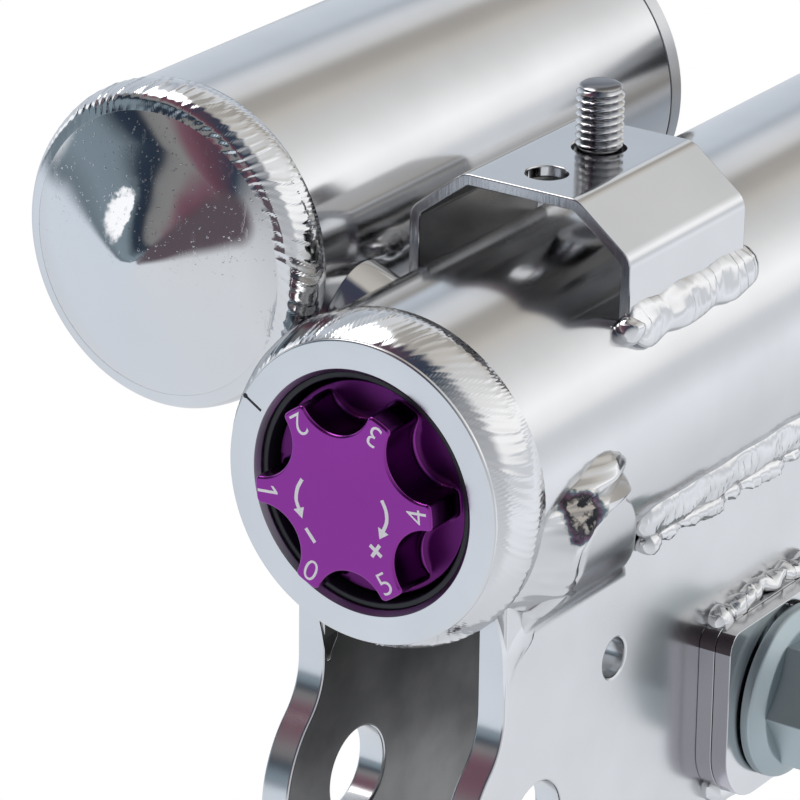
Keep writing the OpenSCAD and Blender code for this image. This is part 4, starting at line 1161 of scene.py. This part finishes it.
class COILOVER_OT_clevis_beads(bpy.types.Operator):
    """Lay the beads of the ears, the tongues and the slotted plates"""

    bl_idname = "coilover.clevis_beads"
    bl_label = "Clevis beads"

    def execute(self, context):
        for name, side in EARS:
            tongue = tongue_bead(side, 0 if side < 0 else 9)
            bead = merged([tongue, *self.ear_lines(side)])
            settle(bead, f"ear_bead_{name}", "strut", finishes["bead"], [f"weld_ear_{name}"],
                   70)
            row = merged([self.plate_line(side, up) for up in (1, -1)])
            settle(row, f"plate_beads_{name}", "strut", finishes["bead"], [f"weld_plates_{name}"],
                   70)
        return {"FINISHED"}

    def ear_lines(self, side):
        """The long bead between ear and tube, and the finer chain of drops beside it."""
        wide, chain = [], []
        for k in range(17):
            wide.append((side * 21.2, -16.6 + 0.2 * math.sin(k * 2.1), 47.5 + k * 4.35, 3.9, 2.6,
                         side * 0.93, -0.1, 0))
        for k in range(25):
            big = 1.3 + 0.35 * math.sin(k * 2.7) + 0.75 * max(0, math.sin(k * 0.95 + 1.2))
            chain.append((side * 20.9, -20.9, 49 + k * 2.85, big, big * 1.35,
                          side * 0.9, -0.45, 0))
        return (run_bead(wide, 2.1, 0.3, seed=11.0 + side, steps=520, rows=22),
                run_bead(chain, 2.3, 0.45, seed=15.0 + side, steps=520, rows=18))

    def plate_line(self, side, up):
        """The lumps down one edge of the plates, thin beside the slot's end for the bolt."""
        row = []
        for k in range(13):
            z = 73.5 + k * 2.75
            clear = max(0, 1 - ((z - BOLT_Z) / 10) ** 2)
            off = 16.35 - 0.25 * math.cos(2.4 * k) * (1 - clear) + 1.3 * clear
            row.append((side * (20.7 + 0.3 * math.sin(2 * k)), BOLT_Y + up * off, z,
                        (2.4 + 0.4 * math.sin(2.9 * k)) * (1 - 0.3 * clear),
                        (2.4 + 0.5 * math.sin(2.3 * k + 1)) * (1 - 0.3 * clear),
                        side * 0.45, up * 0.9, 0))
        if up < 0:
            # This row starts round the plates' large corner.
            row = row[4:]
            y, z, r = BOLT_Y - PLATE_Y / 2 + PLATE_R, BOLT_Z - PLATE_Z / 2 + PLATE_R, PLATE_R + 0.1
            for k in range(3):
                a = math.radians(90 - 23 * k)
                c, s = math.cos(a), math.sin(a)
                big = 2.3 + 0.5 * math.sin(2.6 * k)
                row.insert(0, (side * (20.7 + 0.3 * math.sin(2 * k)), y - r * s, z - r * c,
                               big, big, side * 0.45, -0.9 * s, -0.9 * c))
        return run_bead(row, 3.4, 0.7, seed=3.0 + side + up, steps=300, rows=24)


class COILOVER_OT_bracket(bpy.types.Operator):
    """Build the line bracket, with its beads and threaded stud"""

    bl_idname = "coilover.bracket"
    bl_label = "Line bracket"

    def half(self, d):
        """One half of the hat's outline, at a depth d below its outer face."""
        w, top, y, flank = 42, 21.5, STUD[1], 8
        corner = 1.6 + (HAT_T - d)
        return [
            (w / 2 - d, 14),
            (w / 2 - d, y - flank - 0.4 * d, corner),
            (top / 2 - 0.42 * d, y - d, corner),
        ]

    def execute(self, context):
        outer, inner = self.half(0), self.half(HAT_T)
        outline = (
            outer + [(-x, y, *r) for x, y, *r in outer[::-1]]
            + [(-x, y, *r) for x, y, *r in inner] + inner[::-1]
        )
        low, height = 43.8, 35.5
        sheet = slab(eased(outline, 6), height, (0, 0, low))
        for z, r in ((51.8, 3.5), (STUD[2], 4.5)):
            joined_by(sheet, rod(r, 30, 45, (0, 0, z), (-90, 0, 0), 64))
        joined_by(sheet, tube_drill(0.05))
        close_up(sheet, 0.01)
        edged(sheet, 0.3, 3, 38, on_tube)
        faired(sheet)
        settle(sheet, "line_bracket_sheet", "strut", finishes["bracket"], ["hat_bracket"],
               0)
        # The bracket's inner faces get painted shade.
        two_tone(sheet, lambda c, n: n.x * c.x + n.y * c.y < -8, finishes["shaded"])
        two_tone(sheet, lambda c, n: abs(n.z) > 0.9, finishes["sawn"])
        self.stud()
        beads = []
        for side in (-1, 1):
            z0 = 44 if side < 0 else 50
            row = []
            for k in range(9):
                z = z0 - 1 + (83.5 - z0) * k / 8
                big = 3.9 + 0.45 * math.sin(2.3 * k) - (0.8 if k == 8 else 0)
                row.append((side * 21.4, 18.5, z, big, big * 0.42, side * 0.9, 0.42, 0))
            beads.append(run_bead(row, 2.3, 0.22, seed=20.0 + side, steps=320, rows=26))
            lump = [(side * 20.6, 17.6, z0 - 2.6, 2.2, 2.4, side * 0.7, 0.5, -0.3),
                    (side * 20.9, 17.9, z0 + 2.4, 2.7, 3.1, side * 0.8, 0.5, -0.2)]
            beads.append(run_bead(lump, 3.0, 0.3, seed=31.0 + side, steps=80, rows=24))
        settle(merged(beads), "bracket_beads", "strut", finishes["bead"], ["weld_hat"],
               70)
        return {"FINISHED"}

    def stud(self):
        """The M8 stud: a turned blank whose points follow the thread's helix."""
        pitch, deep, r = 1.25, 0.76, 3.98
        profile = [(0.002, -5.5), (6.0, -5.5), (6.24, -5.2), (6.24, -2.1), (3.7, -2.05),
                   (3.7, 0.3)]
        z = 0.3
        while z < 10.2:
            profile.append((r, z))
            z += pitch / 10
        profile += [(3.5, 10.5), (3.0, 10.85), (2.2, 11), (0.002, 11)]
        stud = turned(profile, 72)
        for v in stud.data.vertices:
            h = v.co.z / MM
            far = math.hypot(v.co.x, v.co.y) / MM
            if far < 3.9 or h < 0.29:
                continue
            t = (h / pitch - math.atan2(v.co.y, v.co.x) / (2 * math.pi)) % 1
            tri = abs(2 * t - 1)
            cut = deep * min(1, max(0, (tri - 0.12) / 0.76))
            cut = max(cut, (h - 9.5) * 0.9) if h > 9.5 else cut
            v.co.x *= (r - cut) / far
            v.co.y *= (r - cut) / far
        placed(stud, STUD, (-90, 0, 0))
        settle(stud, "line_stud_thread", "strut", finishes["stud"], ["line_stud"], 40)


class COILOVER_OT_camber(bpy.types.Operator):
    """Build the camber bolt and its nut"""

    bl_idname = "coilover.camber"
    bl_label = "Camber bolt"

    def flange(self, inner, way):
        """The flange's profile from an inner radius, up with way 1 and down with -1."""
        face = [(15.2, 0, 0.4), (15.2, 1.9, 0.9), (12.6, 3.6, 1.5), (10.5, 4)]
        return eased([(inner, 0), *((r, way * z, *ease) for r, z, *ease in face),
                      (inner, way * 4)])

    def hex_head(self, corner=12.7, z0=2, z1=12):
        """A hexagon with its outer corners turned off."""
        spots = [math.radians(60 * k + 30) for k in range(6)]
        head = slab([(corner * math.cos(a), corner * math.sin(a)) for a in spots], z1 - z0,
                    (0, 0, z0))
        cone = turned([(0.002, z0 - 1), (13.6, z0 - 1), (13.6, z1 - 1.4), (11.0, z1 - 0.05),
                       (10.4, z1 + 0.001), (0.002, z1 + 0.001)], 96)
        joined_by(head, cone, "INTERSECT")
        close_up(head, 0.005)
        edged(head, 0.25, 2, 25)
        return faired(head)

    def execute(self, context):
        x, bore = 26.3, 7.03
        shank = turned(self.flange(0.002, -1)[::-1], 128)
        bolt_rod = turned([(0.002, -0.5), (7, -0.5), (7, 63.6), (6.2, 64.6), (0.002, 64.6)], 96)
        head = placed(self.hex_head(), (0, 0, 0), (180, 0, 0))
        bolt = merged([shank, bolt_rod, head])
        m = Matrix(((0, 0, 1, -x * MM), (1, 0, 0, BOLT_Y * MM), (0, 1, 0, BOLT_Z * MM),
                    (0, 0, 0, 1)))
        bolt.data.transform(m)
        settle(bolt, "camber_bolt_body", "camber_bolt", finishes["zinc"], ["camber_bolt"],
               35)
        flange = turned(looped(self.flange(bore, 1)), 128)
        nut = self.hex_head()
        joined_by(nut, rod(bore, -1, 20))
        nut = merged([flange, faired(nut)])
        m[0][3] = x * MM
        nut.data.transform(m)
        settle(nut, "camber_nut_body", "camber_bolt", finishes["zinc"], ["camber_nut"], 35)
        return {"FINISHED"}


class COILOVER_OT_spring(bpy.types.Operator):
    """Wind the main spring, with its ends closed and ground flat"""

    bl_idname = "coilover.spring"
    bl_label = "Main spring"

    def execute(self, context):
        wire, coils, length, z0, mean = 12.0, 7.5, 177.0, 224.0, 38.5
        end = wire + 0.9
        rise = length - wire
        mid = (rise - 2 * end) / (coils - 2)
        per, around = 96, 24
        rows = []
        for i in range(int(coils * per) + 1):
            n = i / per
            if n < 1:
                h = n * end
            elif n > coils - 1:
                h = rise - (coils - n) * end
            else:
                h = end + (n - 1) * mid
            taper = min(n, coils - n)
            flat = wire / 2 * (0.45 + 0.55 * taper / 0.75)
            th = 2 * math.pi * n
            row = []
            for j in range(around):
                a = 2 * math.pi * j / around
                up = wire / 2 * math.sin(a)
                if taper < 0.75:
                    up = max(up, -flat) if n < 1 else min(up, flat)
                r = mean + wire / 2 * math.cos(a)
                row.append((r * math.cos(th), r * math.sin(th), z0 + wire / 2 + h + up))
            rows.append(row)
        obj = lofted(rows)
        settle(obj, "main_spring_coil", "perch", finishes["paint"], ["main_spring"],
               50)
        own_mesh(obj)
        return {"FINISHED"}


class COILOVER_OT_upper(bpy.types.Operator):
    """Build the piston rod and the bump stop on it"""

    bl_idname = "coilover.upper"
    bl_label = "Rod and bump stop"

    def execute(self, context):
        stop = turned(looped(eased([
            (11.4, 377.7, 1), (16, 377.7, 2), (18.5, 379.7, 2), (18.5, 385.5, 1.5),
            (16, 388.1, 1.5), (21, 392, 2), (23, 395.9, 2), (23, 403.7, 1), (11.4, 403.7, 0.5),
        ], 6)), 96)
        settle(stop, "bump_stop_foam", "rod", finishes["foam"], ["bump_stop"], 50)
        shaft = turned(eased([
            (0.002, 229), (6, 229), (7, 230, 0.2), (7, 256), (11, 256, 0.3), (11, 404, 0.3),
            (7, 404.2), (7, 471.4, 0.3), (6.4, 472), (3, 472), (3, 440), (0.002, 440),
        ]), 96)
        settle(shaft, "piston_rod_body", "rod", finishes["rod"], ["piston_rod"], 40)
        return {"FINISHED"}


class COILOVER_OT_stage(bpy.types.Operator):
    """Set the pale floor, the soft lights, the surroundings and the camera"""

    bl_idname = "coilover.stage"
    bl_label = "Stage"

    def execute(self, context):
        scene = context.scene
        scene.view_settings.view_transform = "Standard"
        self.surroundings(scene)
        self.floor()
        self.lights()
        cam = bpy.data.cameras.new("camera")
        cam.sensor_width = 36
        cam.lens = 221.99
        cam.clip_start = 0.02
        cam.clip_end = 50
        eye = bpy.data.objects.new("camera", cam)
        scene.collection.objects.link(eye)
        eye.location = [c * MM for c in (-396.05, 301.04, -577.35)]
        eye.rotation_euler = [math.radians(a) for a in (158.272, -34.228, 179.206)]
        scene.camera = eye
        return {"FINISHED"}

    def surroundings(self, scene):
        """A soft studio by direction: bands round the sides and top, a dark part low down."""
        n = Nodes("studio", world=True)
        coord = n.tree.nodes.new("ShaderNodeTexCoord").outputs["Generated"]
        xyz = n.tree.nodes.new("ShaderNodeSeparateXYZ")
        n.link(coord, xyz.inputs[0])
        turn = n.math("ARCTAN2", xyz.outputs[1], xyz.outputs[0])
        turn = n.math("MULTIPLY_ADD", turn, 0.5 / math.pi, 0.5)

        cool, blue, plain, warm = (0.97, 1, 1.05), (0.92, 1, 1.11), (1, 1, 1), (1.05, 1, 0.93)
        slate, navy, plum = (0.79, 1, 1.17), (0.67, 1, 1.6), (2.1, 1, 1.35)

        def band(az, level, tint=cool):
            """A stop at an azimuth in degrees: how bright the studio is there, and its tint."""
            return (az + 180) / 360, tuple(level * c for c in tint)

        high = n.ramp(turn, [
            band(-180, 0.68), band(-162, 0.88), band(-118, 0.7), band(-82, 0.65), band(-60, 0.75),
            band(5, 0.65, blue), band(32, 0.6, blue), band(40, 0.45, blue), band(52, 0.72),
            band(66, 0.67, plain), band(74, 0.35, warm), band(86, 0.4, warm), band(95, 0.55, warm),
            band(110, 0.64, plain), band(122, 0.72, plain), band(150, 1.06, plain),
            band(164, 0.92, plain), band(172, 0.68), band(180, 0.68),
        ])
        low = n.ramp(turn, [
            band(-180, 0.58), band(-130, 0.68), band(-100, 0.74), band(-12, 0.74, blue),
            band(-8, 0.2, slate), band(2, 0.28, slate), band(12, 0.26, slate),
            band(17, 0.15, slate), band(21, 0.04, navy), band(29, 0.03, navy),
            band(33, 0.22, plain), band(42, 0.25, plain), band(50, 0.09, plum),
            band(62, 0.06, plum), band(96, 0.05, navy), band(130, 0.34), band(180, 0.58),
        ])
        deep = n.math("MULTIPLY_ADD", xyz.outputs[2], -80.0, -78.4, clamp=True)
        low = n.mix(deep, low, (0.11, 0.085, 0.1))
        split = n.math("MULTIPLY_ADD", xyz.outputs[2], 5.0, 0.6, clamp=True)
        studio = n.mix(split, low, high)
        az = math.radians(57)
        # Two lamps: where each is, where its glow starts and is full, and its colour.
        for at, start, full, colour in (
            ((math.cos(az), math.sin(az), 0), 0.94, 0.985, (3.2, 3.2, 3.2)),
            ((0.988, 0.139, -0.035), 0.955, 0.99, (1.12, 1.13, 1.15)),
        ):
            lamp = n.vector("DOT_PRODUCT", coord, at)
            lamp = n.ramp(lamp, [(start, (0,)), (full, (1,))], True)
            studio = n.mix(lamp, studio, colour)
        path = n.tree.nodes.new("ShaderNodeLightPath")
        seen = path.outputs["Is Camera Ray"]
        bounce = path.outputs["Is Diffuse Ray"]
        # Rays that have met metal twice or more see the studio darker.
        nook = n.math("MULTIPLY_ADD", path.outputs["Ray Depth"], -0.3, 1.6)
        nook = n.math("MAXIMUM", n.math("MINIMUM", nook, 1.0), 0.42)
        studio = n.mix(nook, (0, 0, 0), studio)
        colour = n.mix(bounce, studio, (0.62, 0.63, 0.65))
        colour = n.mix(seen, colour, (1, 1, 1))
        n.link(colour, n.shader.inputs["Color"])
        n.shader.inputs["Strength"].default_value = 1.0
        scene.world = n.home

    def floor(self):
        deselect()
        bpy.ops.mesh.primitive_plane_add(size=30, location=(0, 0, -0.68))
        plane = bpy.context.object
        edit_all()
        bpy.ops.mesh.subdivide(number_cuts=8)
        bpy.ops.object.mode_set(mode="OBJECT")
        bpy.ops.object.transform_apply(location=True, rotation=True, scale=True)
        plane.name = "floor"
        n = Nodes("pale_floor")
        shade = n.mix(n.noise(3.0), (0.8, 0.8, 0.81), (0.77, 0.77, 0.78))
        plane.data.materials.append(n.set(Base_Color=shade, Roughness=0.6))
        plane.visible_glossy = False

    def lights(self):
        for name, at, size, power in (
            ("key", (-0.9, 1.1, -0.2), 0.9, 9), ("fill", (0.9, 0.6, -1.0), 1.1, 5),
            ("top", (0.2, 0.5, 1.5), 1.0, 10),
        ):
            lamp = bpy.data.lights.new(name, "AREA")
            lamp.shape = "DISK"
            lamp.size = size
            lamp.energy = power
            obj = bpy.data.objects.new(name, lamp)
            bpy.context.scene.collection.objects.link(obj)
            obj.location = at
            aim = Vector((0, 0, 0.15)) - Vector(at)
            obj.rotation_euler = aim.to_track_quat("-Z", "Y").to_euler()
            obj.visible_glossy = False
            obj.visible_camera = False


class COILOVER_PT_panel(bpy.types.Panel):
    """Sizes, colours and the steps that build the coilover"""

    bl_label = "Coilover"
    bl_idname = "COILOVER_PT_panel"
    bl_space_type = "VIEW_3D"
    bl_region_type = "UI"
    bl_category = "Coilover"

    def draw(self, context):
        for key in CoiloverLook.__annotations__:
            self.layout.prop(context.scene.coilover_look, key)
        for step in STEPS:
            self.layout.operator(step.bl_idname)


STEPS = (
    COILOVER_OT_finishes,
    COILOVER_OT_foot,
    COILOVER_OT_beads,
    COILOVER_OT_reservoir,
    COILOVER_OT_knob,
    COILOVER_OT_ears,
    COILOVER_OT_plates,
    COILOVER_OT_clevis_beads,
    COILOVER_OT_bracket,
    COILOVER_OT_camber,
    COILOVER_OT_spring,
    COILOVER_OT_upper,
    COILOVER_OT_stage,
)
CLASSES = (CoiloverLook, *STEPS, COILOVER_PT_panel)


def register():
    for cls in CLASSES:
        bpy.utils.register_class(cls)
    bpy.types.Scene.coilover_look = PointerProperty(type=CoiloverLook)


def unregister():
    del bpy.types.Scene.coilover_look
    for cls in reversed(CLASSES):
        bpy.utils.unregister_class(cls)


def main():
    register()
    bpy.ops.coilover.finishes()
    bpy.ops.coilover.foot()
    bpy.ops.coilover.beads()
    bpy.ops.coilover.reservoir()
    bpy.ops.coilover.knob()
    bpy.ops.coilover.ears()
    bpy.ops.coilover.plates()
    bpy.ops.coilover.clevis_beads()
    bpy.ops.coilover.bracket()
    bpy.ops.coilover.camber()
    bpy.ops.coilover.spring()
    bpy.ops.coilover.upper()
    bpy.ops.coilover.stage()


if __name__ == "__main__":
    main()
